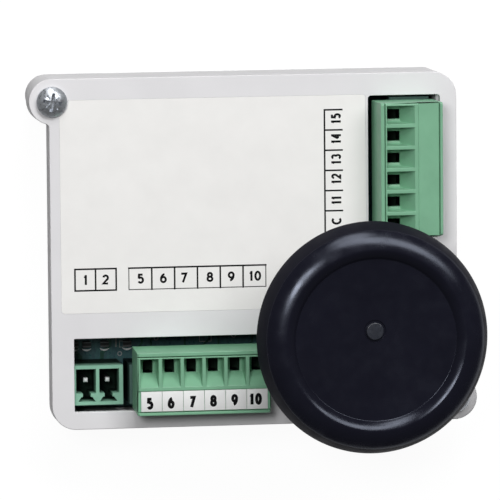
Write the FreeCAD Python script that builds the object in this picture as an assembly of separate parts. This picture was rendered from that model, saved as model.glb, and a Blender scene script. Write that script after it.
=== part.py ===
import FreeCAD, Part
import math
import os

Vector = FreeCAD.Vector

# Lengths and places that differ by less than these count as the same
same_length = 0.001
same_place = 0.01

# Access control unit in millimetres: a flat control box with plug-in terminals and a round reader head.
# The unit lies on its back. X runs to the right and Y to the top of its face, and +Z points out of the face.
# The origin is the centre of the back face of the base shell.

# Face plate with its skirt and lugs
cover_width = 95.2
cover_height = 81.5
cover_plate = 1.8
corner_radius = 5.6
skirt_depth = 6.0
skirt_wall = 1.6
face_edge_radius = 0.2
lug_radius = 5.28
lug_inset = 0.65
lug_root_radius = 0.9
lug_screw_radius = 1.75
lug_hole_clearance = 0.35
lug_screw_length = 19.0
lug_neck_radius = 1.55
lug_neck_below = 0.3
lug_head_radius = 3.55
lug_head_height = 2.3
lug_head_edge = 0.8
lug_recess_arm = 2.1
lug_recess_width = 0.85
lug_recess_depth = 1.5

# Label in its seat, which goes round the head of the upper lug screw
label_left_margin = 2.4
label_top_margin = 5.0
label_side_gap = 0.6
label_lower_gap = 5.9
label_corner_radius = 0.8
label_thickness = 0.15
label_clearance = 0.02
label_screw_margin = 0.35

# Windows in the face plate, by their clearances round the plugs and headers
lower_window_end_lap = 0.3
lower_window_end_gap = 0.6
lower_window_outer_gap = 0.36
lower_window_inner_gap = 2.35
right_window_end_gap = 0.6
right_window_outer_gap = 1.3
right_window_inner_gap = 1.24
lower_window_corner_radius = 0.25
right_window_corner_radius = 0.8
window_edge_radius = 0.15

# Base shell behind the face plate, with a lug behind each of the plate's lugs
base_side_inset = 1.9
base_end_inset = 0.45
base_corner_radius = 2.2
base_cavity_radius = 2.7
base_wall = 2.6
base_floor = 2.0
base_lug_radius = 4.8
base_lug_shift = 0.95
screw_channel_radius = 3.0
lap_clearance = 0.15
lap_gap = 0.2
catch_width = 6.0
catch_depth = 0.5
catch_height = 1.2
catch_drop = 2.4
catch_clearance = 0.25
catch_from_ends = (23.6, 29.6)

# Circuit board and its screws
board_standoff = 3.0
board_thickness = 1.6
board_clearance = 0.3
board_screw_side = 7.1
board_screw_end = 5.7
board_screw_stagger = 1.0
upper_screw_from_row = 8.2
middle_screw_from_row = 12.1
post_radius = 3.0
board_screw_radius = 1.05
board_screw_length = 5.2
board_screw_clearance = 0.05
board_hole_radius = 1.5
board_head_radius = 2.6
board_head_height = 1.6
board_slot_width = 0.7
board_slot_depth = 0.8

# Plug-in headers, the same in section for every number of poles
pitch = 5.08
header_height = 12.0
header_depth = 9.2
header_end_margin = 0.85
header_wall = 0.8
header_end_wall = 0.9
header_floor = 3.5
partition_wall = 0.77
wedge_root = 1.0
wedge_neck = 2.5
wedge_cap = 3.2
wedge_neck_height = 1.1
wedge_cap_height = 0.8
rim_below_face = 2.0

# Header pins
pin_side = 1.0
pin_clearance = 0.03
pin_from_edge = 5.6
pin_below_rim = 2.0
pin_tail = 1.6
board_pin_radius = 0.75

# Rows of poles: each header's outer side faces the near edge of the face
lower_row_from_bottom = 5.45
lower_row_from_left = 4.92
header_gap = 1.53
right_row_from_side = 6.2
right_row_from_top = 5.9
supply_poles = 2
plug_poles = 6

# Plug with six clamps. Depths are from its face, places across it from the header's outer side
plug_above_face = 7.9
plug_seat_gap = 0.1
plug_end_margin = 0.25
plug_outer = -1.6
plug_inner = 12.95
outer_draft = 0.7
inner_draft = 0.5
plug_end_chamfer = 0.4
tongue_width = 4.0
tongue_outer = 2.9
tongue_side_clearance = 0.15
tongue_end_clearance = 0.3
funnel_width = 4.2
funnel_outer = 4.95
funnel_inner = 11.5
funnel_depth = 3.6
funnel_side_draft = 0.1
entry_width = 2.2
entry_outer = 8.0
entry_inner = 11.1
ridge_groove = 11.95
groove_width = 0.22
groove_depth = 0.45
marker_seat_outer = -0.85
marker_seat_inner = 4.1
marker_seat_depth = 0.35
marker_thickness = 0.3
marker_gap = 0.1
marker_score = 0.12

# Clamp in the plug: a screw that stays in place, a cage that it draws up, and the contact
clamp_depth = 6.05
cage_height = 3.9
cage_width = 4.1
cage_wall = 0.55
cage_outer = 5.4
cage_inner = 11.9
cage_nut_wall = 1.05
cage_far_wall = 0.7
cage_clearance = 0.1
thread_pitch = 0.5
clamp_turns = 5
thread_clearance = 0.05
clamp_screw_radius = 1.45
clamp_head_radius = 1.9
clamp_head_height = 1.25
clamp_head_place = 0.25
clamp_bore_clearance = 0.15
clamp_slot_width = 0.6
clamp_slot_depth = 0.6
bar_outer = 7.25
bar_thickness = 0.7
contact_width = 2.2
contact_clearance = 0.1
spring_thickness = 0.4
spring_gap = 0.05
spring_tip_above_floor = 1.2

# Travel of the pieces that lift off
plug_travel = 9.0
head_above_travel = 0.4

# Reader head: a flanged disc with a raised ring, on a hollow rear boss
head_from_side = 23.2
head_from_bottom = 22.0
head_radius = 26.85
head_back_chamfer = 0.5
head_rim_height = 1.1
head_band_height = 2.8
head_band_width = 1.6
head_shoulder_height = 5.6
head_crown_width = 4.4
head_crest_height = 7.7
head_crown_bulge = 0.72
head_inner_slope_width = 2.2
head_recess_height = 6.3
head_inner_bulge = 0.34
head_wall = 2.4
head_inner_height = 4.7
head_fit_gap = 0.1
back_plate = 1.8
boss_radius = 11.0
boss_wall = 1.8
boss_foot = 1.6
grommet_bore = 4.1
grommet_hole = 3.0
grommet_lip = 0.7
grommet_recess = 0.3
guide_offset = (-0.3, 2.1)
guide_radius = 2.0
guide_flange_radius = 2.9
guide_flange = 0.7
guide_proud = 0.5
guide_ring_width = 0.5
guide_ring_depth = 0.25
guide_clearance = 0.03
head_board_gap = 2.0
head_board_thickness = 1.2
head_board_above_back = 0.3
head_screw_inset = 2.8
head_screw_count = 3
head_screw_turn = math.radians(30)
head_screw_radius = 1.1
head_screw_length = 5.0
head_screw_head_radius = 2.2
head_screw_head_height = 1.3
head_post_radius = 2.4
coil_wall_gap = 1.1
coil_width = 2.8
coil_height = 1.9
reader_chip_size = (7.0, 5.0, 1.0)
reader_chip_from_edge = 9.4
led_radius = 1.3
led_height = 0.6
guide_above_led = 0.05

# Pieces on the circuit board: width, depth and height, and the place, which is from the board's upper edge or
# from the lower header's inner side for those near them
relay_size = (19.0, 15.4, 11.0)
relay_x = 16.0
relay_from_top = 15.4
capacitor_radius = 4.0
capacitor_height = 10.5
capacitor_from_side = 13.6
capacitor_rows = (7.0, 19.0)
rectifier_size = (8.4, 6.4, 3.2)
rectifier_from_side = 21.1
rectifier_from_row = 12.1
regulator_size = (6.6, 6.1, 2.3)
regulator_tab = (5.4, 2.0, 0.6)
regulator_from_side = 10.1
regulator_y = -5.0
controller_side = 10.0
controller_height = 1.5
controller_place = (-8.0, 8.0)
controller_legs = 8
leg_width = 0.4
leg_length = 1.1
leg_height = 0.8
memory_size = (5.0, 4.0, 1.5)
memory_place = (-8.0, -9.0)
crystal_size = (10.8, 4.6, 3.6)
crystal_gap = 1.1
crystal_from_top = 13.7
varistor_radius = 4.6
varistor_thickness = 3.4
varistor_lead = 2.0
varistor_places = ((10.0, 2.0), (18.0, 2.0))
chip_size = (2.0, 1.25, 0.6)
chip_from_row = 3.5
chip_row_steps = (1.68, 4.58, 8.78, 14.08)
chip_column_x = 2.0
chip_column = (4.0, 8.0, 12.0)

# Levels and places that follow from the dimensions above
board_bottom = base_floor + board_standoff
board_top = board_bottom + board_thickness
header_top = board_top + header_height
face_z = header_top + rim_below_face
plate_bottom = face_z - cover_plate
skirt_bottom = face_z - skirt_depth
cavity_floor = board_top + header_floor
pin_top = header_top - pin_below_rim
pin_bottom = board_bottom - pin_tail
half_width = cover_width / 2
half_height = cover_height / 2
lug_x = half_width - lug_inset
lug_y = half_height - lug_radius
lug_centres = ((-lug_x, lug_y), (lug_x, -lug_y))
base_x = half_width - base_side_inset
base_y = half_height - base_end_inset
base_lug_x = lug_x - base_lug_shift
base_lug_y = base_y - base_lug_radius
base_lug_centres = ((-base_lug_x, base_lug_y), (base_lug_x, -base_lug_y))
inner_x = base_x - base_wall
inner_y = base_y - base_wall
lap_y = half_height - skirt_wall - lap_clearance
lap_x = min(base_x, half_width - skirt_wall - lap_clearance)
plug_face_z = face_z + plug_above_face
plug_low_z = header_top + plug_seat_gap
plug_length = plug_poles * pitch + 2 * plug_end_margin
draft_at_cover = plug_above_face / (plug_face_z - plug_low_z)
plug_outer_at_cover = plug_outer + draft_at_cover * outer_draft
plug_inner_at_cover = plug_inner + draft_at_cover * inner_draft
supply_half = supply_poles * pitch / 2 + header_end_margin
plug_half = plug_poles * pitch / 2 + header_end_margin
lower_edge_y = lower_row_from_bottom - half_height
right_edge_x = half_width - right_row_from_side
supply_centre_x = lower_row_from_left + supply_half - half_width
reader_centre_x = supply_centre_x + supply_half + header_gap + plug_half
relay_centre_y = half_height - right_row_from_top - plug_half
lower_window_left = supply_centre_x - supply_half + lower_window_end_lap
lower_window_right = reader_centre_x + plug_half + lower_window_end_gap
lower_window_bottom = lower_edge_y + plug_outer_at_cover - lower_window_outer_gap
lower_window_top = lower_edge_y + plug_inner_at_cover + lower_window_inner_gap
right_window_left = right_edge_x - plug_inner_at_cover - right_window_inner_gap
right_window_right = right_edge_x - plug_outer_at_cover + right_window_outer_gap
right_window_bottom = relay_centre_y - plug_half - right_window_end_gap
right_window_top = relay_centre_y + plug_half + right_window_end_gap
label_left = label_left_margin - half_width
label_right = right_window_left - label_side_gap
label_bottom = lower_window_top + label_lower_gap
label_top = half_height - label_top_margin
catch_places = (catch_from_ends[0] - half_width, half_width - catch_from_ends[1])
lower_row_inner_y = lower_edge_y + header_depth
right_row_inner_x = right_edge_x - header_depth
board_screw_places = (
    (board_screw_side - inner_x, inner_y - board_screw_end - board_screw_stagger),
    (right_row_inner_x - upper_screw_from_row, inner_y - board_screw_end + board_screw_stagger),
    (board_screw_side - inner_x, lower_row_inner_y + middle_screw_from_row),
    (inner_x - board_screw_side, board_screw_end - inner_y),
)
relay_place = (relay_x, inner_y - board_clearance - relay_from_top)
capacitor_x = capacitor_from_side - inner_x
crystal_x = capacitor_x + capacitor_radius + crystal_gap + crystal_size[0] / 2
crystal_place = (crystal_x, inner_y - crystal_from_top)
rectifier_place = (rectifier_from_side - inner_x, lower_row_inner_y + rectifier_from_row)
regulator_place = (regulator_from_side - inner_x, regulator_y)
chip_places = [(lower_window_left + step, lower_row_inner_y + chip_from_row) for step in chip_row_steps]
chip_places += [(chip_column_x, y) for y in chip_column]
head_x = half_width - head_from_side
head_y = head_from_bottom - half_height
head_centre = (head_x, head_y)
guide_centre = (head_x + guide_offset[0], head_y + guide_offset[1])
head_back_radius = head_radius - head_back_chamfer
head_shoulder_radius = head_radius - head_band_width
head_crest_radius = head_shoulder_radius - head_crown_width
head_recess_radius = head_crest_radius - head_inner_slope_width
head_inner_radius = head_radius - head_wall
coil_outer_radius = head_inner_radius - coil_wall_gap
coil_inner_radius = coil_outer_radius - coil_width
head_board_radius = coil_inner_radius - head_board_gap
head_screw_circle = head_board_radius - head_screw_inset
clamp_z = plug_face_z - clamp_depth
cage_travel = clamp_turns * thread_pitch
cage_low_z = clamp_z - cage_height / 2
cage_top_z = clamp_z + cage_height / 2
bar_inner = bar_outer + bar_thickness
head_back_z = plug_face_z + plug_travel + head_above_travel
boss_foot_z = face_z


def box(x0, x1, y0, y1, z0, z1):
    """A block between two corners."""
    return Part.makeBox(x1 - x0, y1 - y0, z1 - z0, Vector(x0, y0, z0))


def block(size, place, z0):
    """A block of a given size, centred on a place and standing on a level."""
    width, depth, height = size
    x, y = place
    return box(x - width / 2, x + width / 2, y - depth / 2, y + depth / 2, z0, z0 + height)


def column(radius, place, z0, z1):
    """An upright cylinder between two levels."""
    return Part.makeCylinder(radius, z1 - z0, Vector(place[0], place[1], z0))


def shaft(radius, x, y0, y1, z):
    """A cylinder along Y."""
    return Part.makeCylinder(radius, y1 - y0, Vector(x, y0, z), Vector(0, 1, 0))


def prism(points, z0, z1):
    """An upright prism on a closed outline."""
    corners = [Vector(x, y, z0) for x, y in points]
    outline = Part.makePolygon(corners + corners[:1])
    return Part.Face(outline).extrude(Vector(0, 0, z1 - z0))


def upright_edges(solid, places):
    """The upright edges of a solid that stand at the given places."""
    found = []
    for edge in solid.Edges:
        first, last = edge.Vertexes[0].Point, edge.Vertexes[-1].Point
        if abs(first.x - last.x) > same_length or abs(first.y - last.y) > same_length:
            continue
        if any(math.hypot(first.x - x, first.y - y) < same_place for x, y in places):
            found.append(edge)
    return found


def rounded_block(x0, x1, y0, y1, z0, z1, radius, corners=None):
    """A block whose upright edges are rounded, all of them or those named."""
    solid = box(x0, x1, y0, y1, z0, z1)
    places = corners or ((x0, y0), (x0, y1), (x1, y0), (x1, y1))
    return solid.makeFillet(radius, upright_edges(solid, places))


def joined(solids):
    """One solid from several that touch or overlap."""
    whole = solids[0]
    for solid in solids[1:]:
        whole = whole.fuse(solid)
    return whole.removeSplitter()


def cut(solid, tools):
    """A solid with several tools taken out of it."""
    for tool in tools:
        solid = solid.cut(tool)
    return solid.removeSplitter()


def corner_outline(x, y, z0, z1, radius):
    """A centred block with only the two corners without lugs rounded."""
    return rounded_block(-x, x, -y, y, z0, z1, radius, ((x, y), (-x, -y)))


def channels(radius, z0, z1):
    """Upright cylinders round both lug screws."""
    return [column(radius, place, z0, z1) for place in lug_centres]


def base_shell():
    shoulder = skirt_bottom - lap_gap
    tongue_top = plate_bottom - lap_gap
    lower = corner_outline(base_x, base_y, 0, shoulder, base_corner_radius)
    lugs = [column(base_lug_radius, place, 0, shoulder) for place in base_lug_centres]
    tongue = corner_outline(lap_x, lap_y, shoulder, tongue_top, corner_radius - skirt_wall)
    tongue = cut(tongue, channels(lug_radius + lap_clearance, shoulder, tongue_top))
    room = corner_outline(inner_x, inner_y, base_floor, shoulder, base_cavity_radius)
    room = cut(room, channels(screw_channel_radius + base_wall, base_floor, shoulder))
    mouth = corner_outline(inner_x, inner_y, shoulder, tongue_top, base_cavity_radius)
    shell = cut(joined([lower, tongue] + lugs), channels(screw_channel_radius, 0, shoulder) + [room, mouth])
    posts = [column(post_radius, place, base_floor / 2, board_bottom) for place in board_screw_places]
    tip = board_top - board_screw_length - lap_gap
    holes = [column(board_screw_radius + board_screw_clearance, place, tip, board_bottom)
             for place in board_screw_places]
    slots = [catch(x, side, base_y, catch_clearance) for x in catch_places for side in (-1, 1)]
    return cut(joined([shell] + posts), holes + slots)


def catch(x, side, root, clearance):
    """A catch from a root in the skirt inwards, or the slot for it when it is given a clearance."""
    reach = half_height - skirt_wall - catch_depth - clearance / 2
    low, high = sorted((side * root, side * reach))
    top = face_z - catch_drop
    return box(x - catch_width / 2 - clearance, x + catch_width / 2 + clearance, low, high,
               top - catch_height - clearance, top + clearance)


def front_cover():
    outer = corner_outline(half_width, half_height, skirt_bottom, face_z, corner_radius)
    lugs = channels(lug_radius, skirt_bottom, face_z)
    shell = joined([outer] + lugs)
    root_y = lug_y - math.sqrt(lug_radius ** 2 - lug_inset ** 2)
    roots = ((-half_width, root_y), (half_width, -root_y))
    shell = shell.makeFillet(lug_root_radius, upright_edges(shell, roots))
    rim = [edge for edge in shell.Edges if edge.BoundBox.ZMin > face_z - same_length]
    shell = shell.makeFillet(face_edge_radius, rim)
    inner = corner_outline(half_width - skirt_wall, half_height - skirt_wall, skirt_bottom,
                           plate_bottom, corner_radius - skirt_wall)
    inner = cut(inner, lugs)
    windows = [rounded_block(lower_window_left, lower_window_right, lower_window_bottom, lower_window_top,
                             skirt_bottom, face_z, lower_window_corner_radius),
               rounded_block(right_window_left, right_window_right, right_window_bottom, right_window_top,
                             skirt_bottom, face_z, right_window_corner_radius)]
    hole_radius = lug_screw_radius + lug_hole_clearance
    seat = label_outline(face_z - label_thickness - label_clearance, face_z, label_clearance)
    shell = cut(shell, [inner, seat] + windows + channels(hole_radius, 0, face_z))
    edges = [edge for edge in shell.Edges if any(runs_round(edge, window) for window in windows)]
    shell = shell.makeFillet(window_edge_radius, edges)
    root = half_height - skirt_wall / 2
    catches = [catch(x, side, root, 0) for x in catch_places for side in (-1, 1)]
    return joined([shell] + catches)


def runs_round(edge, window):
    """Whether an edge of the face plate lies on the rim of a window."""
    place = edge.BoundBox
    room = window.BoundBox
    across = room.XMin - same_length < place.XMin and place.XMax < room.XMax + same_length
    along = room.YMin - same_length < place.YMin and place.YMax < room.YMax + same_length
    return place.ZMin > face_z - same_length and across and along


def label_outline(z0, z1, margin):
    """The label's sheet, or its seat when it is given a margin, clear of the upper screw's head."""
    sheet = rounded_block(label_left - margin, label_right + margin,
                          label_bottom - margin, label_top + margin, z0, z1, label_corner_radius)
    clear = lug_head_radius + label_screw_margin - margin
    return sheet.cut(column(clear, lug_centres[0], z0, z1))


def label_sheet():
    return label_outline(face_z - label_thickness - label_clearance, face_z - label_clearance, 0)


def lug_screws():
    """Pan-head screws through both lugs, each with a cross recess."""
    screws = []
    for x, y in lug_centres:
        top = face_z + lug_head_height
        rise = lug_head_height - lug_head_edge
        dome_radius = (lug_head_radius ** 2 + rise ** 2) / (2 * rise)
        head = column(lug_head_radius, (x, y), face_z, top)
        head = head.common(Part.makeSphere(dome_radius, Vector(x, y, top - dome_radius)))
        neck_low = skirt_bottom - lug_neck_below
        neck = column(lug_neck_radius, (x, y), neck_low, face_z)
        thread = column(lug_screw_radius, (x, y), face_z - lug_screw_length, neck_low)
        screw = joined([head, neck, thread])
        low = top - lug_recess_depth
        arms = [block((2 * lug_recess_arm, lug_recess_width, lug_recess_depth), (x, y), low),
                block((lug_recess_width, 2 * lug_recess_arm, lug_recess_depth), (x, y), low)]
        centre = column(lug_recess_width, (x, y), low, top)
        screws.append(cut(screw, arms + [centre]))
    return Part.makeCompound(screws)


def pin_places(poles, centre):
    """Local X of each pole, from the row's centre."""
    return [centre + (k - (poles - 1) / 2) * pitch for k in range(poles)]


def place_lower(shape, centre_x):
    """Puts a piece drawn in a row's own frame into the lower row."""
    shape.translate(Vector(centre_x, lower_edge_y, 0))
    return shape


def place_right(shape):
    """Puts a piece drawn in a row's own frame into the right row, turned a quarter turn."""
    shape.rotate(Vector(0, 0, 0), Vector(0, 0, 1), 90)
    shape.translate(Vector(right_edge_x, relay_centre_y, 0))
    return shape


def wedge(x):
    """A coding wedge on the outer wall: a narrow root, a wider neck and a cap."""
    low = header_wall
    neck = low + wedge_neck_height
    top = neck + wedge_cap_height
    half = [(wedge_root / 2, low), (wedge_neck / 2, neck), (wedge_cap / 2, neck), (wedge_cap / 2, top)]
    outline = [(x + a, b) for a, b in half] + [(x - a, b) for a, b in reversed(half)]
    return prism(outline, cavity_floor, header_top)


def header(poles):
    """A plug-in header in its row's frame: X along the row, Y from its outer side, Z up from the board."""
    half = poles * pitch / 2 + header_end_margin
    inner = half - header_end_wall
    shell = box(-half, half, 0, header_depth, board_top, header_top)
    cavity = box(-inner, inner, header_wall, header_depth - header_wall, cavity_floor, header_top)
    walls = [box(x - partition_wall / 2, x + partition_wall / 2, 0, header_depth, board_top, header_top)
             for x in [(k - poles / 2) * pitch for k in range(1, poles)]]
    wedges = [wedge((k - poles / 2) * pitch).common(box(-half, half, 0, header_depth, 0, header_top))
              for k in range(poles + 1)]
    hole = pin_side / 2 + pin_clearance
    holes = [box(x - hole, x + hole, pin_from_edge - hole, pin_from_edge + hole, board_top, header_top)
             for x in pin_places(poles, 0)]
    return cut(joined([shell.cut(cavity)] + walls + wedges), holes)


def pins(poles):
    """Square pins, each with a bevelled tip."""
    half = pin_side / 2
    solids = []
    for x in pin_places(poles, 0):
        pin = box(x - half, x + half, pin_from_edge - half, pin_from_edge + half, pin_bottom, pin_top)
        tip = [edge for edge in pin.Edges if edge.BoundBox.ZMin > pin_top - same_length]
        solids.append(pin.makeChamfer(pin_side / 4, tip))
    return Part.makeCompound(solids)


def funnel(x):
    """The mouth that leads a wire into its clamp, with a round floor and a slope at its outer end."""
    low = plug_face_z - funnel_depth
    round_floor = (funnel_width - entry_width) / 2 - funnel_side_draft
    turn = math.radians(45)
    section = [(funnel_width / 2, plug_face_z),
               (entry_width / 2 + round_floor, low + round_floor),
               (entry_width / 2 + round_floor * math.sin(turn), low + round_floor * (1 - math.cos(turn))),
               (entry_width / 2, low)]
    left, right = ([Vector(x + side * half, funnel_outer, z) for half, z in section] for side in (-1, 1))
    across = Part.Wire([Part.LineSegment(left[0], left[1]).toShape(),
                        Part.Arc(left[1], left[2], left[3]).toShape(),
                        Part.LineSegment(left[3], right[3]).toShape(),
                        Part.Arc(right[3], right[2], right[1]).toShape(),
                        Part.LineSegment(right[1], right[0]).toShape(),
                        Part.LineSegment(right[0], left[0]).toShape()])
    mouth = Part.Face(across).extrude(Vector(0, funnel_inner - funnel_outer, 0))
    side = x - funnel_width / 2
    along = [Vector(side, funnel_outer, plug_face_z), Vector(side, entry_outer, low),
             Vector(side, entry_inner, low), Vector(side, funnel_inner, plug_face_z)]
    slope = Part.Face(Part.makePolygon(along + along[:1])).extrude(Vector(funnel_width, 0, 0))
    return mouth.common(slope)


def clamp_chamber(x):
    """The hollows of one pole: screw bore, head seat, cage room, wire entry and contact slots."""
    bore = clamp_head_radius + clamp_bore_clearance
    seat = clamp_head_place + clamp_head_height
    room = cage_outer - cage_travel - cage_clearance
    half = cage_width / 2 + cage_clearance
    slot = contact_width / 2 + contact_clearance
    spring = pin_side / 2 + spring_gap + spring_thickness + contact_clearance
    bridge_top = cage_low_z - cage_clearance
    return [
        shaft(bore, x, plug_outer, seat, clamp_z),
        shaft(clamp_screw_radius + clamp_bore_clearance, x, seat, room, clamp_z),
        box(x - half, x + half, room, cage_inner + cage_clearance, bridge_top, cage_top_z + cage_clearance),
        box(x - entry_width / 2, x + entry_width / 2, entry_outer, entry_inner, cage_top_z,
            plug_face_z - funnel_depth),
        box(x - slot, x + slot, pin_from_edge - spring, bar_inner + contact_clearance,
            plug_low_z, bridge_top),
        box(x - slot, x + slot, pin_from_edge - spring, pin_from_edge + spring,
            cavity_floor, plug_low_z),
    ]


def plug_body():
    """The plug's housing in its row's frame, with drafted sides, six tongues and all its hollows."""
    half = plug_length / 2
    outline = [Vector(-half, plug_outer, plug_face_z), Vector(-half, plug_inner, plug_face_z),
               Vector(-half, plug_inner + inner_draft, plug_low_z),
               Vector(-half, plug_outer + outer_draft, plug_low_z)]
    body = Part.Face(Part.makePolygon(outline + outline[:1])).extrude(Vector(plug_length, 0, 0))
    ends = [edge for edge in body.Edges
            if edge.BoundBox.ZMin > plug_face_z - same_length and edge.BoundBox.XLength < same_length]
    body = body.makeChamfer(plug_end_chamfer, ends)
    inner = header_depth - header_wall - tongue_side_clearance
    low = cavity_floor + tongue_end_clearance
    places = pin_places(plug_poles, 0)
    side = tongue_width / 2
    tongues = [box(x - side, x + side, tongue_outer, inner, low, plug_low_z) for x in places]
    body = joined([body] + tongues)
    tools = [box(-half, half, marker_seat_outer, marker_seat_inner,
                 plug_face_z - marker_seat_depth, plug_face_z)]
    for place in (marker_seat_outer, ridge_groove):
        tools.append(box(-half, half, place - groove_width / 2, place + groove_width / 2,
                         plug_face_z - groove_depth, plug_face_z))
    for x in places:
        tools += [funnel(x)] + clamp_chamber(x)
    return cut(body, tools)


def marker_strip():
    """Six printed markers in one scored strip."""
    half = plug_poles * pitch / 2 - pitch / 2 + funnel_width / 2 - marker_gap
    low = plug_face_z - marker_seat_depth
    top = low + marker_thickness
    strip = box(-half, half, marker_seat_outer + 2 * marker_gap, marker_seat_inner - marker_gap, low, top)
    side = marker_score / 2
    scores = [box(x - side, x + side, marker_seat_outer, marker_seat_inner, top - marker_score, top)
              for x in [(k - plug_poles / 2) * pitch for k in range(1, plug_poles)]]
    return cut(strip, scores)


def plug_contacts():
    """A bar under each screw that goes down through the cage and grips the pin with two springs."""
    half = contact_width / 2
    bridge_low = plug_low_z
    bridge_top = bridge_low + spring_thickness
    tip = cavity_floor + spring_tip_above_floor
    near = pin_from_edge - pin_side / 2 - spring_gap
    far = pin_from_edge + pin_side / 2 + spring_gap
    solids = []
    for x in pin_places(plug_poles, 0):
        bar = box(x - half, x + half, bar_outer, bar_inner, bridge_low, cage_top_z)
        bridge = box(x - half, x + half, near - spring_thickness, bar_inner, bridge_low, bridge_top)
        springs = [box(x - half, x + half, near - spring_thickness, near, tip, bridge_top),
                   box(x - half, x + half, far, far + spring_thickness, tip, bridge_top)]
        solids.append(joined([bar, bridge] + springs))
    return Part.makeCompound(solids)


def clamp_screw(x):
    """A slotted screw that bears on the contact bar."""
    seat = clamp_head_place + clamp_head_height
    head = shaft(clamp_head_radius, x, clamp_head_place, seat, clamp_z)
    shank = shaft(clamp_screw_radius, x, seat, bar_outer - thread_clearance, clamp_z)
    slot = box(x - clamp_head_radius, x + clamp_head_radius,
               clamp_head_place, clamp_head_place + clamp_slot_depth,
               clamp_z - clamp_slot_width / 2, clamp_z + clamp_slot_width / 2)
    return joined([head, shank]).cut(slot)


def clamp_cage(x):
    """A sleeve round the contact bar and the wire, with the screw's thread in its outer wall."""
    half = cage_width / 2
    sleeve = box(x - half, x + half, cage_outer, cage_inner, cage_low_z, cage_top_z)
    opening = box(x - half + cage_wall, x + half - cage_wall, cage_outer + cage_nut_wall,
                  cage_inner - cage_far_wall, cage_low_z, cage_top_z)
    thread = shaft(clamp_screw_radius + thread_clearance, x, cage_outer, cage_outer + cage_nut_wall, clamp_z)
    return cut(sleeve, [opening, thread])


def circuit_board():
    x = inner_x - board_clearance
    y = inner_y - board_clearance
    board = corner_outline(x, y, board_bottom, board_top, base_cavity_radius)
    corners = channels(screw_channel_radius + base_wall + board_clearance, 0, face_z)
    holes = [column(board_hole_radius, place, board_bottom, board_top) for place in board_screw_places]
    lower_row = pin_places(supply_poles, supply_centre_x) + pin_places(plug_poles, reader_centre_x)
    places = [(pin_x, lower_edge_y + pin_from_edge) for pin_x in lower_row]
    places += [(right_edge_x - pin_from_edge, pin_y) for pin_y in pin_places(plug_poles, relay_centre_y)]
    holes += [column(board_pin_radius, place, board_bottom, board_top) for place in places]
    return cut(board, corners + holes)


def board_screws():
    screws = []
    for place in board_screw_places:
        head = column(board_head_radius, place, board_top, board_top + board_head_height)
        shank = column(board_screw_radius, place, board_top - board_screw_length, board_top)
        slot = block((2 * board_head_radius, board_slot_width, board_slot_depth), place,
                     board_top + board_head_height - board_slot_depth)
        screws.append(joined([head, shank]).cut(slot))
    return Part.makeCompound(screws)


def controller():
    """A square chip with a row of legs on every side."""
    x, y = controller_place
    body = block((controller_side, controller_side, controller_height), controller_place, board_top)
    legs = []
    step = controller_side / (controller_legs + 1)
    reach = controller_side / 2 + leg_length / 2
    for k in range(controller_legs):
        along = (k + 1) * step - controller_side / 2
        for sign in (-1, 1):
            legs.append(block((leg_width, leg_length, leg_height), (x + along, y + sign * reach), board_top))
            legs.append(block((leg_length, leg_width, leg_height), (x + sign * reach, y + along), board_top))
    return joined([body] + legs)


def regulator():
    body = block(regulator_size, regulator_place, board_top)
    tab_y = regulator_y + regulator_size[1] / 2 + regulator_tab[1] / 2
    return joined([body, block(regulator_tab, (regulator_place[0], tab_y), board_top)])


def varistors():
    """Coated discs that stand on edge, with their two leads in the board."""
    solids = []
    for x, y in varistor_places:
        centre_z = board_top + varistor_lead + varistor_radius
        disc = Part.makeCylinder(varistor_radius, varistor_thickness,
                                 Vector(x - varistor_thickness / 2, y, centre_z), Vector(1, 0, 0))
        leads = [column(leg_width, (x, y + side * varistor_radius / 2), board_top, centre_z)
                 for side in (-1, 1)]
        solids.append(joined([disc] + leads))
    return Part.makeCompound(solids)


def crystal():
    """A flat can with round ends."""
    length, width, height = crystal_size
    x, y = crystal_place
    bar = block((length - width, width, height), crystal_place, board_top)
    ends = [column(width / 2, (x + side * (length - width) / 2, y), board_top, board_top + height)
            for side in (-1, 1)]
    return joined([bar] + ends)


def electronics():
    """The pieces on the circuit board, each standing on it."""
    capacitors = [column(capacitor_radius, (capacitor_x, y), board_top, board_top + capacitor_height)
                  for y in capacitor_rows]
    chips = [block(chip_size, place, board_top) for place in chip_places]
    return {
        "door_relay": block(relay_size, relay_place, board_top),
        "electrolytic_capacitors": Part.makeCompound(capacitors),
        "bridge_rectifier": block(rectifier_size, rectifier_place, board_top),
        "voltage_regulator": regulator(),
        "microcontroller": controller(),
        "access_memory": block(memory_size, memory_place, board_top),
        "crystal": crystal(),
        "surge_varistors": varistors(),
        "chip_resistors": Part.makeCompound(chips),
    }


def head_arc(first, middle, last):
    """An arc in the head's section through three points of radius and height above its back."""
    ends = [Vector(head_x + r, head_y, head_back_z + h) for r, h in (first, middle, last)]
    return Part.Arc(*ends).toShape()


def head_line(first, last):
    """A straight stretch of the head's section."""
    ends = [Vector(head_x + r, head_y, head_back_z + h) for r, h in (first, last)]
    return Part.LineSegment(*ends).toShape()


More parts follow.
